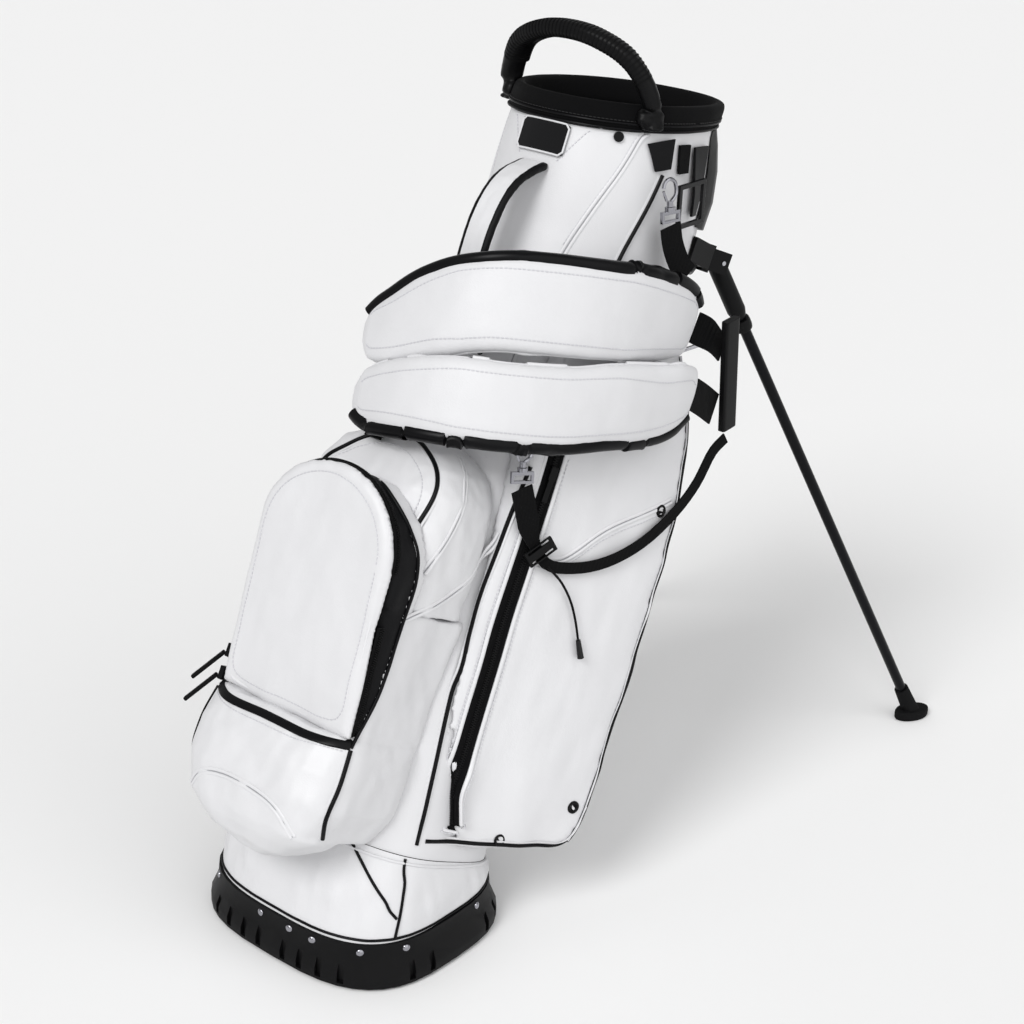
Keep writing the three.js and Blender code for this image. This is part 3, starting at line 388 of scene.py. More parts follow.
def swept(path: Array, out: Array, section: Array | Callable[[float], Array], closed: bool = False) -> list[Array]:
    """Rings of a cross-section carried along a path; see Blank.sweep for the arguments."""
    path = np.asarray(path, float)
    if closed:
        tangent = unit(np.roll(path, -1, axis=0) - np.roll(path, 1, axis=0))
    else:
        tangent = unit(np.gradient(path, axis=0))
    out = np.broadcast_to(np.asarray(out, float), path.shape)
    out = unit(out - tangent * (out * tangent).sum(1, keepdims=True))
    side = np.cross(tangent, out)
    rings = []
    for i, p in enumerate(path):
        rows = section(i / max(1, len(path) - 1)) if callable(section) else section
        rings.append(p + rows[:, :1] * side[i] + rows[:, 1:] * out[i])
    return rings


class Skin:
    """The outer skin of some pieces of the upright bag, for laying piping, tape and thread on it."""

    passes = 8  # how often a path laid on the skin is evened out

    def __init__(self, *blanks: Blank) -> None:
        """Gathers the blanks' faces."""
        points, faces, base = [], [], 0
        for blank in blanks:
            joined = np.vstack(blank.points)
            points += joined.tolist()
            faces += [tuple(i + base for i in f) for f in blank.faces]
            base += len(joined)
        self.tree = BVHTree.FromPolygons(points, faces)

    def lay(self, path: Array, lift: float = 0.0, towards: Sequence[float] | None = None) -> tuple[Array, Array]:
        """Drops a path onto the skin.

        Args:
            path: Points near the skin, mm.
            lift: How far above the skin the path ends up, mm.
            towards: Direction in which outward normals must point; by default away from the bag's middle.

        Returns:
            The points on the skin and the outward normals there.
        """
        at, normals = [], []
        for p in path:
            hit, normal, _index, _far = self.tree.find_nearest(Vector(p))
            out = Vector(towards) if towards is not None else Vector((p[0], p[1] - 20, 0))
            if normal.dot(out) < 0:
                normal = -normal
            at.append(hit)
            normals.append(normal)
        normals = np.array([list(n) for n in normals])
        for _ in range(3):
            ease(normals)
        normals = unit(normals)
        spots = np.array([list(p) for p in at])
        for _ in range(self.passes if len(spots) > 6 else 0):
            ease(spots)
            ease(normals)
        return spots + normals * lift, unit(normals)


def stitch(blank: Blank, path: Array, out: Array, pitch: float, length: float, thick: float,
           finish: int) -> None:
    """Sews a row of thread stitches along a path.

    Args:
        blank: Mesh that takes the thread.
        path: Points on the skin, mm.
        out: Outward normals at those points.
        pitch: Distance between stitches, mm.
        length: Length of one stitch, mm.
        thick: Radius of the thread, mm.
        finish: Finish number.
    """
    far = distances(path)
    for at in np.arange(pitch, far[-1] - length, pitch):
        ends = []
        for share in (0.0, 0.5, 1.0):
            d = at + share * length
            rise = thick * (0.9 if share == 0.5 else 0.1)
            ends.append(at_distance(d, far, path) + at_distance(d, far, out) * rise)
        blank.sweep(np.array(ends), at_distance(at, far, out)[None, :], cord_section(thick * 2, 5), finish)


def put(piece: bpy.types.Object, body: str, slot: str, *stands_for: str) -> bpy.types.Object:
    """Parents a finished piece to the body it rides on and hides the CAD nodes that it stands for."""
    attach(piece, body)
    if stands_for:
        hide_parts(*stands_for)
    LOG.info("%s rides on %s", piece.name, body)
    return piece


def linear(code: str) -> tuple[float, float, float, float]:
    """Turns an sRGB hex colour into the linear values that a shader takes."""
    parts = [int(code[i : i + 2], 16) / 255 for i in (1, 3, 5)]
    return (*[c / 12.92 if c <= 0.04045 else ((c + 0.055) / 1.055) ** 2.4 for c in parts], 1.0)


def node(tree: bpy.types.NodeTree, kind: str, links: dict[str, bpy.types.NodeSocket] | None = None,
         **settings: object) -> bpy.types.Node:
    """Adds one shader node.

    Args:
        tree: Node tree of the material.
        kind: Node type.
        links: Input name to the output that feeds it.
        settings: Properties of the node, or values of its inputs with spaces written as underscores.

    Returns:
        The new node.
    """
    made = tree.nodes.new(kind)
    for name, value in settings.items():
        if hasattr(made, name):
            setattr(made, name, value)
        else:
            made.inputs[name.replace("_", " ")].default_value = value
    for name, source in (links or {}).items():
        tree.links.new(source, made.inputs[name])
    return made


# ------------------------------------------------------------------------------------------ finishes
class Relief(Enum):
    """Fine surface pattern of a finish."""

    PLAIN = "plain"
    GRAIN = "grain"
    LEATHER = "leather"
    WEAVE = "weave"


@dataclass(frozen=True)
class Finish:
    """A surface finish, with its pattern sized in real millimetres."""

    name: str
    colour: str
    roughness: float
    relief: Relief = Relief.PLAIN
    pitch: float = 1.0
    depth: float = 0.0
    metallic: float = 0.0
    coat: float = 0.0
    sheen: float = 0.0
    mottle: float = 0.06
    specular: float = 0.5

    def make(self) -> bpy.types.Material:
        """Builds the material once and returns it."""
        label = self.name + "_finish"
        known = bpy.data.materials.get(label)
        if known:
            return known
        made = bpy.data.materials.new(label)
        made.use_nodes = True
        tree = made.node_tree
        surface = tree.nodes["Principled BSDF"]
        surface.inputs["Metallic"].default_value = self.metallic
        surface.inputs["Coat Weight"].default_value = self.coat
        surface.inputs["Coat Roughness"].default_value = 0.08
        surface.inputs["Sheen Weight"].default_value = self.sheen
        surface.inputs["IOR"].default_value = 1.5
        surface.inputs["Specular IOR Level"].default_value = self.specular
        place = node(tree, "ShaderNodeTexCoord").outputs["Object"]
        self.add_wear(tree, surface, place)
        if self.relief is not Relief.PLAIN:
            bump = node(tree, "ShaderNodeBump", {"Height": self.height(tree, place)}, Strength=0.9,
                        Distance=self.depth * MM)
            tree.links.new(bump.outputs["Normal"], surface.inputs["Normal"])
        return made

    def add_wear(self, tree: bpy.types.NodeTree, surface: bpy.types.Node, place: bpy.types.NodeSocket) -> None:
        """Varies colour and roughness a little over hand-sized patches.

        Args:
            tree: Node tree of the material.
            surface: Its Principled shader.
            place: Object coordinates.
        """
        patch = node(tree, "ShaderNodeTexNoise", {"Vector": place}, Scale=28.0, Detail=5.0, Roughness=0.6)
        base = linear(self.colour)
        shades = [tuple(min(1.0, c * k) for c in base[:3]) + (1.0,) for k in (1 - self.mottle, 1 + self.mottle * 0.5)]
        ramp = node(tree, "ShaderNodeMix", {"Factor": patch.outputs["Fac"]}, data_type="RGBA")
        ramp.inputs[6].default_value, ramp.inputs[7].default_value = shades
        tree.links.new(ramp.outputs[2], surface.inputs["Base Color"])
        gloss = node(tree, "ShaderNodeMapRange", {"Value": patch.outputs["Fac"]}, To_Min=self.roughness * 0.85,
                     To_Max=min(1.0, self.roughness * 1.15))
        tree.links.new(gloss.outputs["Result"], surface.inputs["Roughness"])

    def height(self, tree: bpy.types.NodeTree, place: bpy.types.NodeSocket) -> bpy.types.NodeSocket:
        """Height of the fine relief.

        Args:
            tree: Node tree of the material.
            place: Object coordinates, in metres.

        Returns:
            The output that holds the height.
        """
        cells = 1000.0 / self.pitch
        if self.relief is Relief.GRAIN:
            return node(tree, "ShaderNodeTexNoise", {"Vector": place}, Scale=cells, Detail=3.0).outputs["Fac"]
        if self.relief is Relief.LEATHER:
            pebble = node(tree, "ShaderNodeTexVoronoi", {"Vector": place}, feature="SMOOTH_F1", Scale=cells)
            return pebble.outputs["Distance"]
        warp, weft = (
            node(tree, "ShaderNodeTexWave", {"Vector": place}, bands_direction=way, Scale=cells / 3.14,
                 Distortion=0.4)
            for way in ("X", "Z")
        )
        return self.crossed(tree, warp, weft)

    @staticmethod
    def crossed(tree: bpy.types.NodeTree, warp: bpy.types.Node, weft: bpy.types.Node) -> bpy.types.NodeSocket:
        """Threads that pass over and under each other."""
        over = tree.nodes.new("ShaderNodeMath")
        over.operation = "MAXIMUM"
        tree.links.new(warp.outputs["Fac"], over.inputs[0])
        tree.links.new(weft.outputs["Fac"], over.inputs[1])
        return over.outputs[0]


# White coated fabric with a fine pebble that breaks up the soft highlights.
WHITE_COATED = Finish("white_coated_fabric", "#D2D2D4", 0.46, Relief.LEATHER, 1.1, 0.10, sheen=0.05, mottle=0.03)
# The same cloth over foam: a touch softer and less glossy.
WHITE_PADDED = Finish("padded_white_fabric", "#D0D0D2", 0.52, Relief.LEATHER, 1.3, 0.14, sheen=0.1, mottle=0.03)
# Black coated cloth of flaps and tabs.
BLACK_COATED = Finish("black_coated_fabric", "#0C0C0E", 0.5, Relief.LEATHER, 1.1, 0.12, mottle=0.2, specular=0.12)
# Glossier cord-filled edging that catches thin highlights.
BLACK_PIPING = Finish("black_piping", "#09090B", 0.34, Relief.GRAIN, 0.8, 0.05, mottle=0.15, specular=0.12)
WHITE_PIPING = Finish("white_piping", "#D4D4D6", 0.4, Relief.GRAIN, 0.8, 0.04, mottle=0.03)
# Flat ribbed straps.
WEBBING = Finish("black_webbing", "#0A0A0B", 0.85, Relief.WEAVE, 1.4, 0.30, sheen=0.03, mottle=0.2, specular=0.08)
# Matte brushed cloth inside the wells.
LINING = Finish("black_lining_fabric", "#0A0A0B", 0.95, Relief.WEAVE, 0.9, 0.15, sheen=0.02, mottle=0.2, specular=0.08)
# Injection-moulded parts with a spark-eroded grain.
MOULDED = Finish("moulded_plastic", "#0D0D0E", 0.47, Relief.GRAIN, 0.7, 0.06, mottle=0.2, specular=0.12)
TRIM = Finish("black_trim_plastic", "#0B0B0C", 0.4, Relief.GRAIN, 0.7, 0.04, mottle=0.2, specular=0.12)
# Blank badge with a lacquered face.
GLOSS = Finish("gloss_badge", "#0A0A0C", 0.14, coat=0.3, specular=0.15)
STEEL = Finish("bright_steel", "#B9B9BE", 0.26, Relief.GRAIN, 0.5, 0.02, metallic=1.0)
CHROME = Finish("bright_chrome", "#9A9AA0", 0.12, metallic=1.0, mottle=0.02)
ANODISED = Finish("black_anodised_tube", "#0E0E11", 0.32, metallic=0.35, mottle=0.15, specular=0.15)
RUBBER = Finish("black_rubber", "#0C0C0D", 0.78, Relief.GRAIN, 0.6, 0.08, mottle=0.2, specular=0.12)
ENAMEL = Finish("black_enamelled_metal", "#0B0B0D", 0.25, coat=0.15, specular=0.15)
CORD = Finish("black_cord", "#0A0A0B", 0.8, Relief.WEAVE, 1.0, 0.25, sheen=0.03, specular=0.08)
WHITE_THREAD = Finish("white_thread", "#C4C4C8", 0.6, mottle=0.02)
BLACK_THREAD = Finish("black_thread", "#121213", 0.6)
# Shadowed line where two panels are sewn together.
SEAM_SHADOW = Finish("seam_shadow", "#9B9B9F", 0.8, mottle=0.02)


# ------------------------------------------------------------------------------------------ sizes of the bag
# Body sections from the bottom up: height, centre along Y, half-width, half-depth, corner power, slant
BODY = np.array([
    (62, 2, 124, 110, 3.0, 0), (130, 5, 116, 107, 3.0, 0), (240, 9, 108, 105, 3.0, 0), (420, 15, 103, 107, 2.8, 0),
    (620, 25, 101, 113, 2.5, 0.04), (720, 36, 102, 121, 2.35, 0.12), (790, 27, 102, 116, 2.3, 0.24),
    (842, 13, 99, 105, 2.2, 0.36),
], float)
HEM, MOUTH = 62, 842  # heights of the body's lower edge and of its mouth, on the middle line
BASE_HALF = (136.0, 117.0)
BASE_POWER = 3.0
BASE_TOP = 50.4
DOOR_BOTTOM, DOOR_SHOULDER, DOOR_RADIUS, DOOR_LEAN = 168.0, 333.0, 86.0, 0.145
SIDE_POCKET = [  # height, front edge x and y, rear edge x and y, bulge of the face
    (70, 98, -40, 156, 80, 5), (78, 100, -44, 173, 103, 7), (100, 101, -50, 180, 117, 8), (150, 102, -56, 182, 121, 9),
    (320, 103, -70, 176, 123, 9), (470, 103, -74, 165, 124, 8), (550, 102, -75, 150, 122, 7),
    (600, 98, -68, 134, 116, 4), (632, 93, -56, 116, 106, 2),
]


def body_at(z: float) -> Array:
    """Body section at a height: height, centre, half-width, half-depth, power and slant."""
    return np.array([z] + [np.interp(z, BODY[:, 0], BODY[:, k]) for k in range(1, 6)])


def body_ring(section: Array, grow: float, lift: float = 0.0, count: int = 160) -> Array:
    """Plan ring of a body section, grown outward and lifted."""
    z, cy, rx, ry, power, slant = section
    ring = oval(rx + grow, ry + grow, power, cy, count)
    return np.column_stack([ring, z + lift + slant * (ring[:, 1] - cy)])


def side_face(z: float, t: float, side: int = 1) -> Array:
    """Point on the outer face of a side pocket, `t` of the way from its front edge to its rear edge."""
    rows = np.array(SIDE_POCKET, float)
    fx, fy, rx, ry, bulge = (np.interp(z, rows[:, 0], rows[:, k]) for k in range(1, 6))
    nx, ny = ry - fy, fx - rx
    out = bulge * 4 * t * (1 - t) / math.hypot(nx, ny)
    return np.array([side * (fx + (rx - fx) * t + nx * out), fy + (ry - fy) * t + ny * out, z])


def door_front(z: float) -> float:
    """Front face of the ball pocket door at a height."""
    return -190.0 - (z - DOOR_BOTTOM) * DOOR_LEAN


def door_outline(inset: float, behind: float, steps: int = 14) -> Array:
    """D-shaped line round the door, shrunk by `inset` and set back by `behind`, as a closed route."""
    r = DOOR_RADIUS - inset
    low = DOOR_BOTTOM + inset
    arc = [(r * math.cos(a), DOOR_SHOULDER + (r - 4) * math.sin(a)) for a in np.linspace(0, math.pi, steps)]
    flat = [(-r, 280), (-r, 220), (-r, low + 14), (-r + 5, low + 4), (-r + 16, low), (0, low), (r - 16, low),
            (r - 5, low + 4), (r, low + 14), (r, 220), (r, 280)]
    return np.array([(x, door_front(z) + behind, z) for x, z in arc + flat])


# ------------------------------------------------------------------------------------------ pieces from the frame
class Parts:
    """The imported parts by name, with the body and the material slot that each belongs to."""

    def __init__(self) -> None:
        """Loads the frame."""
        self.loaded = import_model()
        bodies = {empty.name: name for name, empty in self.loaded["bodies"].items()}
        self.nodes = self.loaded["nodes"]
        self.body = {name: bodies[o.parent.name] for name, o in self.nodes.items()}
        self.slot = {row["node"]: row["material_slot"] for row in self.loaded["record"]["subparts"]}

    def copy(self, name: str, label: str) -> bpy.types.Object:
        """A welded copy of a part's mesh as a new object.

        Args:
            name: The part.
            label: Name of the new object.

        Returns:
            The copy, at rest in the row frame.
        """
        mesh = self.nodes[name].data.copy()
        mesh.name = label
        mesh.materials.clear()
        work = bmesh.new()
        work.from_mesh(mesh)
        bmesh.ops.remove_doubles(work, verts=work.verts, dist=0.02 * MM)
        work.to_mesh(mesh)
        work.free()
        return link(label, mesh)


@dataclass
class HardPiece:
    """A moulded, turned or cut part: its solid with rounded edges."""

    node: str
    finish: Finish
    rounding: float

    def build(self, parts: Parts) -> bpy.types.Object:
        """Rounds the edges, sets the finish and hands the piece to the frame."""
        piece = parts.copy(self.node, self.node + "_look")
        mesh = piece.data
        work = bmesh.new()
        work.from_mesh(mesh)
        bmesh.ops.dissolve_limit(work, angle_limit=math.radians(FLAT), verts=work.verts, edges=work.edges)
        if self.rounding:
            least = math.radians(ROUNDED_EDGE)
            edges = [e for e in work.edges if len(e.link_faces) == 2 and e.calc_face_angle(0) > least]
            bmesh.ops.bevel(work, geom=edges, offset=self.rounding * MM, segments=2, profile=0.6, affect="EDGES",
                            clamp_overlap=True)
        work.to_mesh(mesh)
        work.free()
        dress(mesh, [self.finish], [0] * len(mesh.polygons))
        mesh.set_sharp_from_angle(angle=math.radians(HARD_EDGE))
        piece.modifiers.new("even_shading", "WEIGHTED_NORMAL").keep_sharp = True
        return put(piece, parts.body[self.node], parts.slot[self.node], self.node)


@dataclass
class SoftPiece:
    """A sewn piece: its solid made round and plump, with shallow lumps in the cloth."""

    node: str
    finishes: tuple[Finish, ...]
    grid: float = 3.0
    smoothing: int = 6
    lump: tuple[float, float, float] = (30.0, 30.0, 60.0)
    amount: float = 0.8
    paint: Callable[[Array], int] | None = None
    crown: Callable[[Array], Array] | None = None
    seed: float = 0.0
    upright: Array = field(init=False, default=None)

    def build(self, parts: Parts) -> bpy.types.Object:
        """Rebuilds the solid as cloth and hands the piece to the frame."""
        rough = parts.copy(self.node, self.node + "_solid")
        grid = rough.modifiers.new("grid", "REMESH")
        grid.mode, grid.voxel_size = "VOXEL", self.grid * MM
        soften = rough.modifiers.new("soften", "SMOOTH")
        soften.factor, soften.iterations = 0.5, self.smoothing
        bpy.context.view_layer.update()
        mesh = bpy.data.meshes.new_from_object(rough.evaluated_get(bpy.context.evaluated_depsgraph_get()))
        bpy.data.objects.remove(rough)
        self.wrinkle(mesh)
        mesh.materials.clear()
        chosen = [0] * len(mesh.polygons)
        if self.paint:
            centres = np.zeros(len(mesh.polygons) * 3)
            mesh.polygons.foreach_get("center", centres)
            chosen = [self.paint(p) for p in raised(centres.reshape(-1, 3) / MM)]
        dress(mesh, self.finishes, chosen)
        return put(link(self.node + "_look", mesh), parts.body[self.node], parts.slot[self.node], self.node)

    def wrinkle(self, mesh: bpy.types.Mesh) -> None:
        """Pushes the cloth in and out along its own normals."""
        count = len(mesh.vertices)
        points, normals = np.zeros(count * 3), np.zeros(count * 3)
        mesh.vertices.foreach_get("co", points)
        mesh.vertices.foreach_get("normal", normals)
        points, normals = points.reshape(-1, 3) / MM, normals.reshape(-1, 3)
        upright = raised(points)
        push = ripple(upright, self.lump, self.amount, self.seed)
        push += ripple(upright, [s / 2.7 for s in self.lump], self.amount * 0.35, self.seed + 9)
        if self.crown:
            push += self.crown(upright)
        points += normals * push[:, None]
        self.upright = raised(points)
        mesh.vertices.foreach_set("co", (points * MM).ravel())
        mesh.update()

    def skin(self, piece: bpy.types.Object) -> Blank:
        """The cloth as points and faces of the upright bag, for laying trims on it."""
        blank = Blank()
        blank.add(self.upright, [tuple(f.vertices) for f in piece.data.polygons])
        return blank


# ------------------------------------------------------------------------------------------ hard parts
HARD_PARTS = [HardPiece(*row) for row in (
    ("base_tray", MOULDED, 0.9), ("tilt_pin", STEEL, 0.3), ("floor_plate", MOULDED, 0.6),
    ("divider_panels", LINING, 0.5), ("divider_grid", LINING, 1.6), ("rear_housing", TRIM, 1.4),
    ("leg_bracket", TRIM, 1.0), ("actuator_rod", STEEL, 0.0), ("carriage", TRIM, 0.6),
    ("badge_plate", GLOSS, 0.5), ("snap_button", TRIM, 0.5), ("strap_hub", TRIM, 1.6),
    ("ladder_slider", TRIM, 0.7), ("cord_tip", GLOSS, 0.3), ("anchor_tab", BLACK_COATED, 0.6),
    ("glove_flap", BLACK_COATED, 0.6), ("towel_ring", ENAMEL, 0.3), ("towel_loop", WEBBING, 0.4),
    ("upper_web", WEBBING, 0.4), ("adjuster_web", WEBBING, 0.4), ("pad_web_upper", WEBBING, 0.4),
    ("pad_web_lower", WEBBING, 0.4),
    *((part + side, finish, rounding) for side in ("right", "left") for part, finish, rounding in (
        ("leg_bolt_", STEEL, 0.4), ("leg_sleeve_", TRIM, 0.8), ("leg_tube_", ANODISED, 0.0),
        ("leg_collar_", TRIM, 0.7), ("leg_foot_", RUBBER, 0.8), ("strut_", STEEL, 0.3), ("apparel_zip_slider_", TRIM, 0.5))),
    *((part.format(end), finish, rounding) for end in ("upper", "lower") for part, finish, rounding in (
        ("ball_zip_slider_{}", TRIM, 0.6), ("ball_zip_pull_{}", RUBBER, 0.6), ("{}_swivel_eye", CHROME, 0.2),
        ("{}_hook", CHROME, 0.0), ("{}_hook_gate", CHROME, 0.0))),
)]


# ------------------------------------------------------------------------------------------ sub-assemblies
@dataclass
class BodyShell:
    """White body of the bag with its black lining."""

    wall: float = 2.6
    inset: float = 1.2
    rows: int = 78
    blank: Blank = field(default_factory=Blank)

    def build(self, parts: Parts) -> bpy.types.Object:
        """Lofts the outer cloth and the lining as one closed skin."""
        heights = np.linspace(HEM, MOUTH, self.rows)
        table = np.array([body_at(z) for z in heights])
        for _ in range(2):
            ease(table[:, 1:])
        outer = []
        for section in table:
            ring = body_ring(section, 0.0)
            push = ripple(ring, (55, 55, 130), 0.5) - self.inset
            outer.append(ring + outward(ring, section[1]) * push[:, None])
        inner = [body_ring(section, -self.wall) for section in table[::-1]]
        self.blank.loft(outer + inner, lambda r, _i: 0 if r < self.rows - 1 else 1, joined=True)
        piece = self.blank.build("body_cloth", [WHITE_COATED, LINING], sharp=60)
        return put(piece, "bag", "white_coated_fabric", "body_shell")


@dataclass
class GussetSkirt:
    """Loose skirt that closes the gap between the base tray and the bag, with its piped seams."""

    wall: float = 2.0
    bulge: float = 3.5
    rows: int = 18

    def ring(self, share: float, grow: float, count: int = 200) -> Array:
        """Ring of the skirt, `share` of the way up from the tray to the bag's hem."""
        flat = oval(BASE_HALF[0] - 3 + grow, BASE_HALF[1] - 3 + grow, BASE_POWER, 0, count)
        rim = np.column_stack([flat, np.full(count, BASE_TOP)])
        hem = leaned(body_ring(body_at(HEM), grow, -0.4, count))
        ring = rim + (hem - rim) * share
        out = outward(rim, 0)
        folds = self.bulge + ripple(ring, (14, 14, 70), 1.6) + ripple(ring, (60, 60, 30), 1.4, 5)
        return ring + out * (folds * math.sin(math.pi * share))[:, None]

    def build(self) -> bpy.types.Object:
        """Builds the skirt between the tray's rim and the hem of the leaning bag."""
        shares = np.linspace(0, 1, self.rows)
        blank = Blank()
        outer = [self.ring(t, 0.0) for t in shares]
        inner = [self.ring(t, -self.wall) for t in shares[::-1]]
        blank.loft(outer + inner, lambda r, _i: 0 if r < self.rows - 1 else 1, joined=True)
        for share, lift, radius, finish in ((0.04, 0.3, 1.5, 2), (0.93, 0.3, 1.6, 0)):
            line = self.ring(share, lift)
            blank.sweep(line, unit(line * [1, 1, 0]), cord_section(2 * radius, 8), finish, closed=True)
        for side in (1, -1):
            for low, high, end in ((62, 60, 0.04), (60, 24, 0.30)):
                line = []
                for t in np.linspace(end, 0.98, 22):
                    bearing = side * (low + (high - low) * (t - end) / (0.98 - end))
                    line.append(self.ring(t, 0.4)[int(round((bearing - 90) % 360 / 360 * 200)) % 200])
                blank.tube(even_path(line[::3], 4.0), 1.6, 8, 2)
        piece = blank.build("gusset_skirt_look", [WHITE_COATED, LINING, BLACK_PIPING],
                            upright=False, sharp=60)
        put(piece, "base", "white_coated_fabric", "gusset_skirt")
        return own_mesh(piece)


@dataclass
class Cuff:
    """Padded black collar round the mouth, with a rolled edge and a row of stitches."""

    width: float = 12.4
    height: float = 27.4

    def build(self) -> bpy.types.Object:
        """Sweeps the padded section round the slanted mouth."""
        top = body_at(MOUTH)
        path = body_ring(top, -2.5, 14.2, 200)
        out = outward(path, top[1])
        path += out * ripple(path, (24, 24, 24), 0.35)[:, None]
        blank = Blank()
        blank.sweep(path, out, pillow(self.height, self.width, 3.0, 28), closed=True)
        for lift, grow in ((2.6, 3.2), (8.6, 3.6)):
            edge = body_ring(top, grow, lift, 200)
            blank.sweep(edge, out, cord_section(2.6, 8), 1, closed=True)
        sewn = body_ring(top, 4.0, 11.4, 400)
        stitch(blank, sewn, outward(sewn, top[1]), 4.2, 2.8, 0.5, 2)
        piece = blank.build("cuff_look", [LINING, BLACK_PIPING, BLACK_THREAD])
        return put(piece, "bag", "black_lining_fabric", "cuff")


class Line(Enum):
    """Ways a sewn line is finished."""

    BLACK_PIPE = "black piping"
    WELT = "double welt"
    THREAD = "row of stitches"
    BINDING = "flat black binding"
    GROOVE = "seam line"


# What each line is made of: shift across and lift off the cloth in mm, cross-section, finish number
SECTIONS = {
    Line.BLACK_PIPE: ((0, 0.9, cord_section(4.6), 0), (0, 0.1, pillow(9.0, 1.2, 3, 10), 1)),
    Line.BINDING: ((0, 0.5, pillow(9.0, 2.4, 3, 12), 0),),
    # Finish 3 is the painted seam shade: a thin grey strip that stands in for the shadow along a seam.
    Line.WELT: ((-2.3, 0.2, pillow(3.4, 2.2, 2, 8), 1), (2.3, 0.2, pillow(3.4, 2.2, 2, 8), 1),
                (0, 0.05, pillow(1.0, 0.7, 2, 6), 3)),
    Line.GROOVE: ((0, 0.05, pillow(1.0, 0.8, 2, 6), 3),),
}


@dataclass
class Sewn:
    """One sewn line on the bag: how it is finished and the points near the cloth that it follows."""

    line: Line
    route: list[tuple[float, float, float]]
    mirrored: bool = False


SEWN_LINES = [
    # belly of the ball pocket, and the leaf-shaped panel below it
    Sewn(Line.BLACK_PIPE, [(90, -183, 159), (95, -187, 117), (92, -189, 92), (88, -176, 68)], True),
    Sewn(Line.BINDING, [(-90, -184, 163), (-67, -200, 158), (-8, -202, 158), (44, -201, 158), (72, -196, 160),
                        (90, -184, 163)]),
    Sewn(Line.THREAD, [(-88, -187, 156), (-60, -204, 150), (-8, -207, 150), (44, -205, 151), (88, -187, 156)]),
    Sewn(Line.WELT, [(-71, -199, 63), (-57, -209, 81), (-20, -213, 90), (18, -213, 89), (51, -210, 82),
                     (71, -199, 63)]),
    # front edge of the side pocket and the seams beside it
    Sewn(Line.BLACK_PIPE, [(106, -74, 470), (102, -73, 430), (99, -71, 388), (95, -69, 340), (96, -65, 272),
                           (98, -62, 216), (105, -59, 148), (110, -58, 100), (108, -56, 74)], True),
    Sewn(Line.WELT, [(91, -170, 291), (93, -143, 307), (93, -111, 328), (88, -80, 358), (95, -71, 397)], True),
    Sewn(Line.BLACK_PIPE, [(116, 106, 628), (134, 116, 598), (150, 122, 548), (165, 124, 470), (176, 123, 320),
                           (182, 121, 150), (180, 117, 104)], True),
    Sewn(Line.WELT, [(103, -40, 383), (128, -8, 388), (146, 32, 430), (156, 74, 459), (162, 112, 482)], True),
    Sewn(Line.THREAD, [(103, -40, 376), (128, -8, 380), (148, 32, 421), (158, 74, 450), (164, 112, 473)], True),
    # accessory pocket
    Sewn(Line.BLACK_PIPE, [(-69, -172, 372), (-73, -166, 404), (-59, -171, 424), (-38, -161, 443), (-14, -150, 456),
                           (10, -146, 459), (34, -150, 452), (59, -156, 438), (72, -162, 420), (73, -170, 396),
                           (69, -176, 372)]),
    Sewn(Line.THREAD, [(-62, -178, 376), (-64, -174, 404), (-50, -172, 424), (-14, -160, 444), (10, -158, 446),
                       (50, -166, 430), (63, -172, 412), (62, -178, 380)]),
    Sewn(Line.WELT, [(88, -160, 340), (89, -140, 392), (80, -130, 428), (52, -117, 456)], True),
    # upper body
    Sewn(Line.WELT, [(88, -45, 842), (81, -52, 788), (69, -63, 735), (58, -71, 687), (52, -82, 620), (50, -92, 540),
                     (49, -95, 470)], True),
    Sewn(Line.THREAD, [(57, -75, 826), (39, -85, 792), (23, -87, 765)], True),
    Sewn(Line.BLACK_PIPE, [(101, -10, 790), (98, -13, 762), (95, -19, 729), (93, -26, 695), (90, -32, 640)], True),
    Sewn(Line.THREAD, [(84, -48, 838), (77, -55, 785), (65, -66, 733), (54, -74, 687)], True),
    Sewn(Line.GROOVE, [(60, 90, 740), (85, 60, 730), (99, 20, 712)], True),
]


@dataclass
class Sewing:
    """All piping, welts and stitches of the white cloth."""

    skin: Skin
    blank: Blank = field(default_factory=Blank)
    finishes: tuple[Finish, ...] = (BLACK_PIPING, WHITE_PIPING, WHITE_THREAD, SEAM_SHADOW)

    def run(self, line: Line, route: Route) -> None:
        """Sews one line.

        Args:
            line: How it is finished.
            route: Points near the cloth, mm.
        """
        path, out = self.skin.lay(even_path(route, 4.0), 0.0)
        side = sideways(path, out)
        if line is Line.THREAD:
            on, away = self.skin.lay(even_path(path, 1.0), 0.0)
            stitch(self.blank, on, away, 4.2, 2.8, 0.55, 2)
        for across, lift, section, finish in SECTIONS.get(line, ()):
            self.blank.sweep(path + side * across + out * lift, out, section, finish)

    def build(self) -> bpy.types.Object:
        """Sews every line of the list, on both sides where it is mirrored."""
        for sewn in SEWN_LINES:
            self.run(sewn.line, sewn.route)
            if sewn.mirrored:
                self.run(sewn.line, [(-x, y, z) for x, y, z in sewn.route])
        for side in (1, -1):
            low = [side_face(82, t, side) + [0, 0, 0.16 * 150 * t - 4] for t in np.linspace(0.0, 1.0, 9)]
            rear = [(182.5 * side, 121, 150), (181 * side, 118, 118)]
            self.run(Line.BLACK_PIPE, [tuple(p) for p in low] + rear[::-1])
        piece = self.blank.build("sewn_lines", self.finishes)
        return put(piece, "bag", "white_coated_fabric")


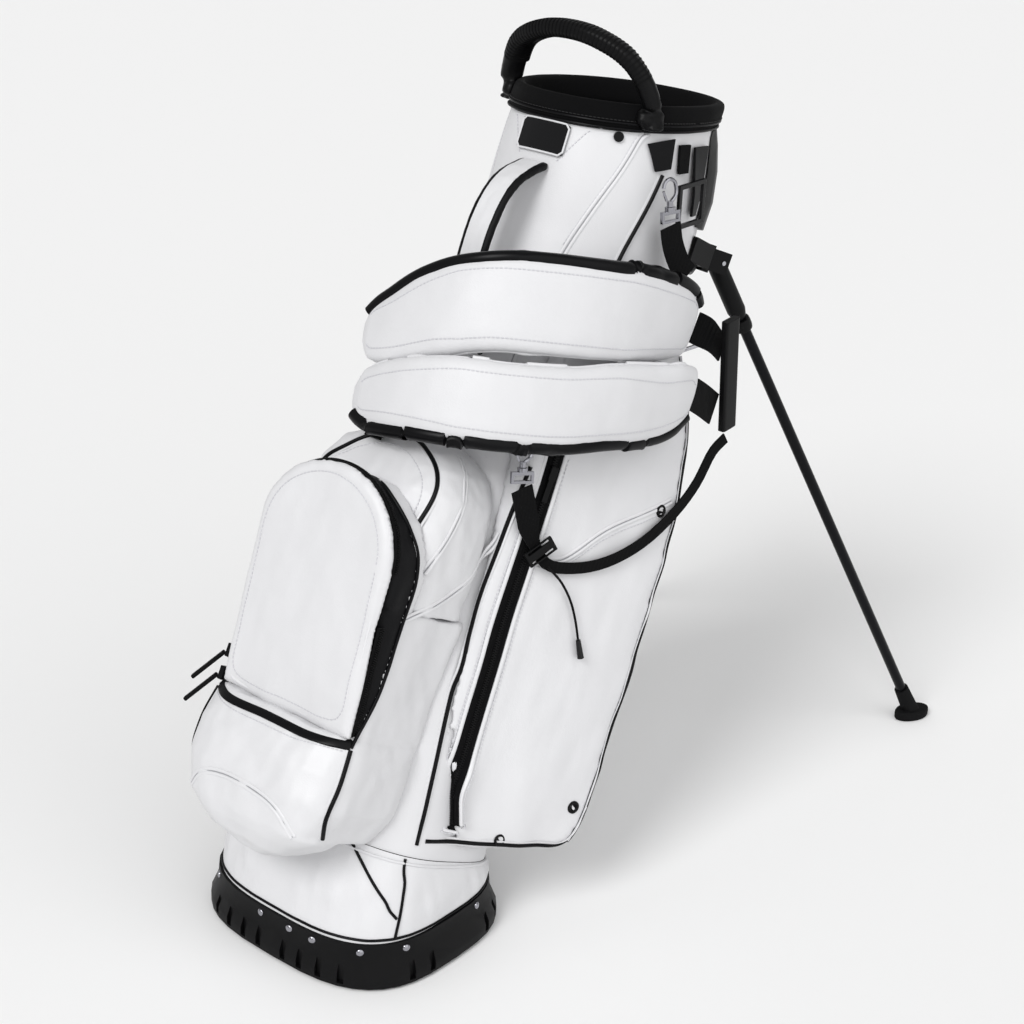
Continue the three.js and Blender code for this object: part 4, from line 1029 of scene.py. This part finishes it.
@dataclass
class Zip:
    """Zip closure: woven tape and two rows of moulded teeth."""

    name: str
    tape: float = 18.0
    pitch: float = 2.6
    tooth: float = 2.2

    def build(self, path: Array, out: Array, body: str) -> bpy.types.Object:
        """Lays the zip along a path.

        Args:
            path: Points on the cloth, mm.
            out: Outward normals.
            body: Body that the zip moves with.

        Returns:
            The zip.
        """
        blank = Blank()
        blank.sweep(path + out * 0.3, out, pillow(self.tape, 1.6, 4, 12), 0)
        side = sideways(path, out)
        for off in (-self.tape * 0.32, self.tape * 0.32):
            blank.sweep(path + side * off + out * 1.2, out, pillow(1.4, 0.6, 2, 6), 0)
        far = distances(path)
        for number, at in enumerate(np.arange(1.0, far[-1], self.pitch / 2)):
            p, n, s = (at_distance(at, far, rows) for rows in (path, out, side))
            along = unit(np.cross(n, s))
            sign = 1 if number % 2 else -1
            size = (self.tooth * 1.5, self.pitch * 0.5, 1.5)
            blank.box(p + n * 1.9 + s * sign * 1.1, size, np.array([s, along, n]), 0.3, 1)
        piece = blank.build(self.name, [WEBBING, TRIM])
        return put(piece, body, "black_trim_plastic")


@dataclass
class StrapPad:
    """Plump shoulder pad with piped and bound edges and quilting stitches."""

    node: str
    route: list[tuple[float, float, float]]
    width: float
    bound: int  # side that has the black binding: 1 for the top edge, -1 for the bottom edge

    def build(self, parts: Parts) -> bpy.types.Object:
        """Makes the pad and lays its edges on it."""
        shape = SoftPiece(self.node, (WHITE_PADDED,), 2.6, 10, (60, 60, 60), 0.8, seed=self.width)
        pad = shape.build(parts)
        skin = Skin(shape.skin(pad))
        middle = even_path(self.route, 4.0)
        out = outward(middle, 20)
        up = unit(np.cross(out, unit(np.gradient(middle, axis=0))))
        up *= np.sign(up[:, 2:])
        share = np.linspace(0, 1, len(middle))
        reach = self.width / 2 * np.interp(share, [0, 0.05, 0.3, 0.7, 0.95, 1], [0.3, 0.68, 0.97, 0.97, 0.78, 0.35])
        blank = Blank()
        for edge in (1, -1):
            line = middle + up * (edge * reach)[:, None]
            on, away = skin.lay(line[2:-2], 0.0)
            if edge == self.bound:
                blank.sweep(on - away * 0.5, away, pillow(19.0, 15.0, 2.4, 18), 0)
            else:
                blank.sweep(on - away * 1.0, away, cord_section(4.4), 1)
            inner = middle + up * (edge * np.maximum(reach - 11, 2))[:, None] + out * 12
            sewn, normal = skin.lay(even_path(inner[3:-3], 1.0), 0.0)
            stitch(blank, sewn, normal, 4.4, 3.0, 0.6, 2)
        edges = blank.build(self.node + "_edges", [BLACK_PIPING, WHITE_PIPING, WHITE_THREAD])
        put(edges, "bag", "black_coated_fabric")
        return pad


PADS = [
    StrapPad("strap_pad_upper", [(-76, -164, 541), (-34, -171, 556), (17, -172, 586), (62, -162, 606), (102, -126, 621),
                                 (131, -72, 636), (140, -16, 648), (141, 36, 656), (137, 74, 659)], 92, 1),
    StrapPad("strap_pad_lower", [(-52, -176, 478), (3, -184, 494), (52, -180, 506), (99, -156, 517), (134, -104, 533),
                                 (152, -42, 554), (160, 16, 570), (163, 48, 583), (159, 80, 592)], 80, -1),
]


def gusset_band(point: Array) -> int:
    """Finish of the ball pocket at a point: black zip gusset round the door, white elsewhere."""
    x, y, z = point
    band = np.interp(z, [159, 204, 279, 348, 382, 405], [6, 25, 37, 39, 28, 24])
    return 1 if (z > 172 or abs(x) > 84 and z > 163) and y < door_front(z) + band else 0


def handle_band(point: Array) -> int:
    """Finish of the grab handle at a point: black bound edges, white middle."""
    return 1 if abs(point[0]) > 11.5 else 0


def door_crown(points: Array) -> Array:
    """Outward crown of the door's padded face, mm."""
    across = np.clip(1 - (points[:, 0] / 84) ** 2, 0, 1)
    along = np.clip(1 - ((points[:, 2] - 290) / 126) ** 2, 0, 1)
    front = points[:, 1] < np.array([door_front(z) for z in points[:, 2]]) + 4
    return np.where(front, 6.0 * np.sqrt(across * along), 0.0)


@dataclass
class Cloth:
    """The sewn pockets, door and handles, with the skin that trims are laid on."""

    parts: Parts
    shell: BodyShell
    blanks: dict[str, Blank] = field(default_factory=dict)

    def build(self) -> None:
        """Builds each sewn piece."""
        pieces = [
            SoftPiece("ball_pocket", (WHITE_COATED, BLACK_COATED), 3.0, 5, (36, 36, 50), 1.3, gusset_band),
            SoftPiece("ball_pocket_door", (WHITE_COATED,), 2.0, 3, (40, 40, 60), 0.9, None, door_crown, 3.0),
            SoftPiece("accessory_pocket", (WHITE_COATED,), 3.0, 5, (30, 30, 40), 1.3, seed=7.0),
            SoftPiece("apparel_pocket_right", (WHITE_COATED,), 4.0, 4, (60, 60, 130), 2.0, seed=11.0),
            SoftPiece("apparel_pocket_left", (WHITE_COATED,), 4.0, 4, (60, 60, 130), 2.0, seed=17.0),
            SoftPiece("grab_handle", (WHITE_COATED, BLACK_COATED), 1.6, 3, (12, 12, 24), 0.4, handle_band),
            SoftPiece("top_handle", (TRIM,), 1.7, 3, (30, 30, 30), 0.15,
                      crown=lambda points: np.full(len(points), 1.2)),
        ]
        for shape in pieces:
            self.blanks[shape.node] = shape.skin(shape.build(self.parts))

    def skin(self, *nodes: str) -> Skin:
        """Skin of the named pieces, or of the body and every pocket."""
        chosen = nodes or ("ball_pocket", "accessory_pocket", "apparel_pocket_right", "apparel_pocket_left")
        return Skin(*[self.blanks[n] for n in chosen], *([] if nodes else [self.shell.blank]))


def door_trim(cloth: Cloth) -> None:
    """Piping on the door's edge, the coil zip round it and the black line at the back of its gusset."""
    edge = Blank()
    rim = even_path(door_outline(5.5, 1.2), 4.0, closed=True)
    edge.sweep(rim, np.array([0, -1.0, 0]), cord_section(4.0), 0, closed=True)
    inner = even_path(door_outline(11, 0.0), 1.0, closed=True)
    on, away = cloth.skin("ball_pocket_door").lay(inner, 0.0, (0, -1, 0))
    stitch(edge, on, away, 4.4, 3.0, 0.55, 1)
    put(edge.build("ball_door_edging", [WHITE_PIPING, WHITE_THREAD]), "ball_door", "white_coated_fabric")
    coil = even_path(door_outline(-1.0, 11.5), 3.0)
    middle = np.array([0, -190, 300.0])
    out = unit((coil - middle) * [1, 0, 1])
    Zip("ball_pocket_zip", tape=10.0, pitch=2.2, tooth=1.8).build(coil, out, "bag")
    line = Blank()
    half = [(90, -183, 161), (91, -170, 204), (92, -169, 279), (89, -177, 348), (74, -193, 382), (45, -200, 402)]
    back = half + [(0, -201, 410)] + [(-x, y, z) for x, y, z in half[::-1]]
    on, away = cloth.skin("ball_pocket", "accessory_pocket").lay(even_path(back, 3.5), 0.6)
    line.sweep(on, away, cord_section(3.8), 0)
    put(line.build("ball_pocket_piping", [BLACK_PIPING]), "bag", "black_coated_fabric")


def side_zips(cloth: Cloth) -> None:
    """Long zips of the side pockets with a fold of cloth on each side."""
    for side, label in ((1, "right"), (-1, "left")):
        route = [side_face(z, 0.13, side) for z in (492, 470, 420, 370, 320, 260, 200, 150, 110, 84)]
        path, out = cloth.skin("apparel_pocket_" + label).lay(even_path(route, 5.0), 0.2)
        Zip("apparel_zip_" + label).build(path, out, "bag")
        fold = Blank()
        across = sideways(path, out)
        for off in (-11.5, 11.5):
            fold.sweep(path + across * off + out * 0.3, out, pillow(4.5, 3.0, 2, 8), 0)
            sewn = even_path(path + across * off * 1.35 + out * 0.4, 1.0)
            stitch(fold, sewn, out.mean(0)[None, :].repeat(len(sewn), 0), 4.2, 2.8, 0.5, 1)
        put(fold.build("apparel_zip_folds_" + label, [WHITE_PIPING, WHITE_THREAD]), "bag",
            "white_coated_fabric")


def small_fittings(cloth: Cloth) -> None:
    """Rivets of the base, eyelets of the pockets and the badge frame."""
    rivets = Blank()
    for bearing in (-156, -134, -108, -65, -46, -10, 10, 24, 46, 65, 108, 134, 156):
        a = math.radians(bearing)
        x, y = math.sin(a), -math.cos(a)
        r = (abs(x / BASE_HALF[0]) ** BASE_POWER + abs(y / BASE_HALF[1]) ** BASE_POWER) ** (-1 / BASE_POWER)
        rivets.lathe([(4.2, -0.5), (4.2, 0.5), (3.7, 1.2), (2.4, 1.9), (0.9, 2.2), (0.0, 2.25)],
                     (x * r * 1.002, y * r * 1.002, 42), (x, y, 0.05), 20)
    put(rivets.build("base_rivets", [CHROME], upright=False), "base", "bright_chrome")
    eyelets = Blank()
    for side in (1, -1):
        spots = np.array([(181.0 * side, 100, 146), (146.0 * side, 33, 96), (176.0 * side, 96, 470)])
        on, away = cloth.skin("apparel_pocket_right" if side > 0 else "apparel_pocket_left").lay(spots, 0.0)
        for p, n in zip(on, away):
            eyelets.lathe([(7.0, 0.0), (6.8, 1.2), (5.6, 1.8), (4.2, 1.2), (3.6, 0.2), (3.4, -0.6)], p, n, 24)
    put(eyelets.build("vent_eyelets", [TRIM]), "bag", "black_trim_plastic")
    frame = Blank()
    outline = [(-25, 767), (25, 767), (29, 771), (29, 795), (25, 799), (-25, 799), (-29, 795), (-29, 771)]
    path = []
    for (x0, z0), (x1, z1) in zip(outline, outline[1:] + outline[:1]):
        for t in np.linspace(0, 1, 8, endpoint=False):
            x, z = x0 + (x1 - x0) * t, z0 + (z1 - z0) * t
            _z, cy, rx, ry, power, _s = body_at(787.5)
            y = cy - (ry + 4.4) * (1 - (abs(x) / rx) ** power) ** (1 / power) - (z - 783) * 0.06
            path.append((x, y, z + 4.5))
    frame.sweep(np.array(path), np.array([0, -1.0, 0]), cord_section(2.0, 8), 0, closed=True)
    put(frame.build("badge_frame", [WHITE_PIPING]), "bag", "white_coated_fabric")


def handle_ribs() -> None:
    """Raised bands round the arm of the top handle that keep a hand from slipping."""
    half = [(-88, -46, 826), (-88, -58, 852), (-68, -84, 880), (-34, -99, 892), (0, -103, 895)]
    route = half + [(-x, y, z) for x, y, z in half[-2::-1]]
    path = even_path(route, 2.2)
    tangent = unit(np.gradient(path, axis=0))
    blank = Blank()
    for k in range(int(len(path) * 0.17), int(len(path) * 0.83), 2):
        ends = np.array([path[k] - tangent[k] * 0.9, path[k] + tangent[k] * 0.9])
        blank.sweep(ends, np.array([0, -0.35, 0.94]), pillow(27.4, 19.4, 2.8, 20))
    put(blank.build("top_handle_ribs", [RUBBER], sharp=25), "bag", "black_trim_plastic")


def webbing_tab() -> None:
    """Short webbing tab folded over the top of the accessory pocket."""
    blank = Blank()
    route = [(-22, -164, 446), (-22, -160, 456), (-22, -150, 462), (-22, -138, 463)]
    path = even_path(route, 2.0)
    out = unit(np.cross(np.gradient(path, axis=0), [1, 0, 0]))
    out *= np.sign(out[:, 2:] + 0.3)
    blank.sweep(path + out * 1.5, out, pillow(22.0, 2.4, 5, 12))
    put(blank.build("accessory_tab", [WEBBING]), "bag", "black_webbing")


def free_cord() -> None:
    """Draw cord that hangs from the ladder slider."""
    route = [(136.5, -32, 380), (142.5, -11, 370), (147, 12, 353), (152, 24, 336), (157, 33, 318)]
    path = smooth_path(route, 40)
    diameter = 2.6
    blank = Blank()
    blank.tube(path, diameter / 2, 12)
    piece = blank.build("draw_cord_look", [CORD])
    put(piece, "bag", "black_cord", "draw_cord")
    way = [tuple(p) for p in leaned(path) * MM]


# ------------------------------------------------------------------------------------------ studio
@dataclass
class Studio:
    """Pale sweep of floor, soft key light from the front left and the camera."""

    eye: tuple[float, float, float] = (1.260, -1.343, 1.286)
    yaw: float = 38.5
    pitch: float = 24.0
    roll: float = 2.6
    lens: float = 72.316
    floor: str = "#EFEFEF"
    key: float = 1.75
    side: float = 1.3
    fill: float = 0.46

    def build(self) -> None:
        """Adds the floor, lights and camera."""
        scene = bpy.context.scene
        scene.view_settings.view_transform = "Standard"
        bpy.ops.mesh.primitive_plane_add(size=30)
        ground = bpy.context.object
        ground.name = "studio_floor"
        ground.data.materials.append(Finish("studio_paper", self.floor, 0.9, mottle=0.0).make())
        world = bpy.data.worlds.new("studio")
        world.use_nodes = True
        world.node_tree.nodes["Background"].inputs["Color"].default_value = (1, 1, 1, 1)
        world.node_tree.nodes["Background"].inputs["Strength"].default_value = self.fill
        scene.world = world
        self.sun("key_light", self.key, 5, 42, 24)
        self.sun("side_light", self.side, 75, 30, 80)
        self.aim(scene)

    @staticmethod
    def sun(name: str, strength: float, bearing: float, height: float, spread: float) -> bpy.types.Object:
        """A broad distant light.

        Args:
            name: Name of the light.
            strength: Energy.
            bearing: Where it stands, degrees from the front of the bag towards its right side.
            height: Degrees above the floor.
            spread: Apparent size in degrees, which softens the shadow.

        Returns:
            The light.
        """
        light = bpy.data.objects.new(name, bpy.data.lights.new(name, "SUN"))
        light.data.energy, light.data.angle = strength, math.radians(spread)
        b, h = math.radians(bearing), math.radians(height)
        travel = Vector((-math.sin(b) * math.cos(h), math.cos(b) * math.cos(h), -math.sin(h)))
        light.rotation_euler = travel.to_track_quat("-Z", "Y").to_euler()
        bpy.context.scene.collection.objects.link(light)
        return light

    def aim(self, scene: bpy.types.Scene) -> None:
        """Points the camera."""
        a, e, r = (math.radians(v) for v in (self.yaw, self.pitch, self.roll))
        back = Vector((math.sin(a) * math.cos(e), -math.cos(a) * math.cos(e), math.sin(e)))
        right = Vector((math.cos(a), math.sin(a), 0))
        up = back.cross(right)
        across, upward = right * math.cos(r) + up * math.sin(r), -right * math.sin(r) + up * math.cos(r)
        turn = Matrix((across, upward, back)).transposed().to_4x4()
        camera = bpy.data.objects.new("camera", bpy.data.cameras.new("camera"))
        camera.data.lens, camera.data.sensor_width = self.lens, 36
        camera.data.clip_start, camera.data.clip_end = 0.05, 60
        camera.matrix_world = Matrix.Translation(self.eye) @ turn
        scene.collection.objects.link(camera)
        scene.camera = camera


def main() -> None:
    """Builds the bag piece by piece."""
    logging.basicConfig(level=logging.INFO, format="%(message)s")
    parts = Parts()
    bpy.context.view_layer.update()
    for part in HARD_PARTS:
        part.build(parts)
    shell = BodyShell()
    shell.build(parts)
    GussetSkirt().build()
    Cuff().build()
    cloth = Cloth(parts, shell)
    cloth.build()
    Sewing(cloth.skin()).build()
    door_trim(cloth)
    side_zips(cloth)
    for pad in PADS:
        pad.build(parts)
    small_fittings(cloth)
    handle_ribs()
    webbing_tab()
    free_cord()
    Studio().build()


if __name__ == "__main__":
    main()
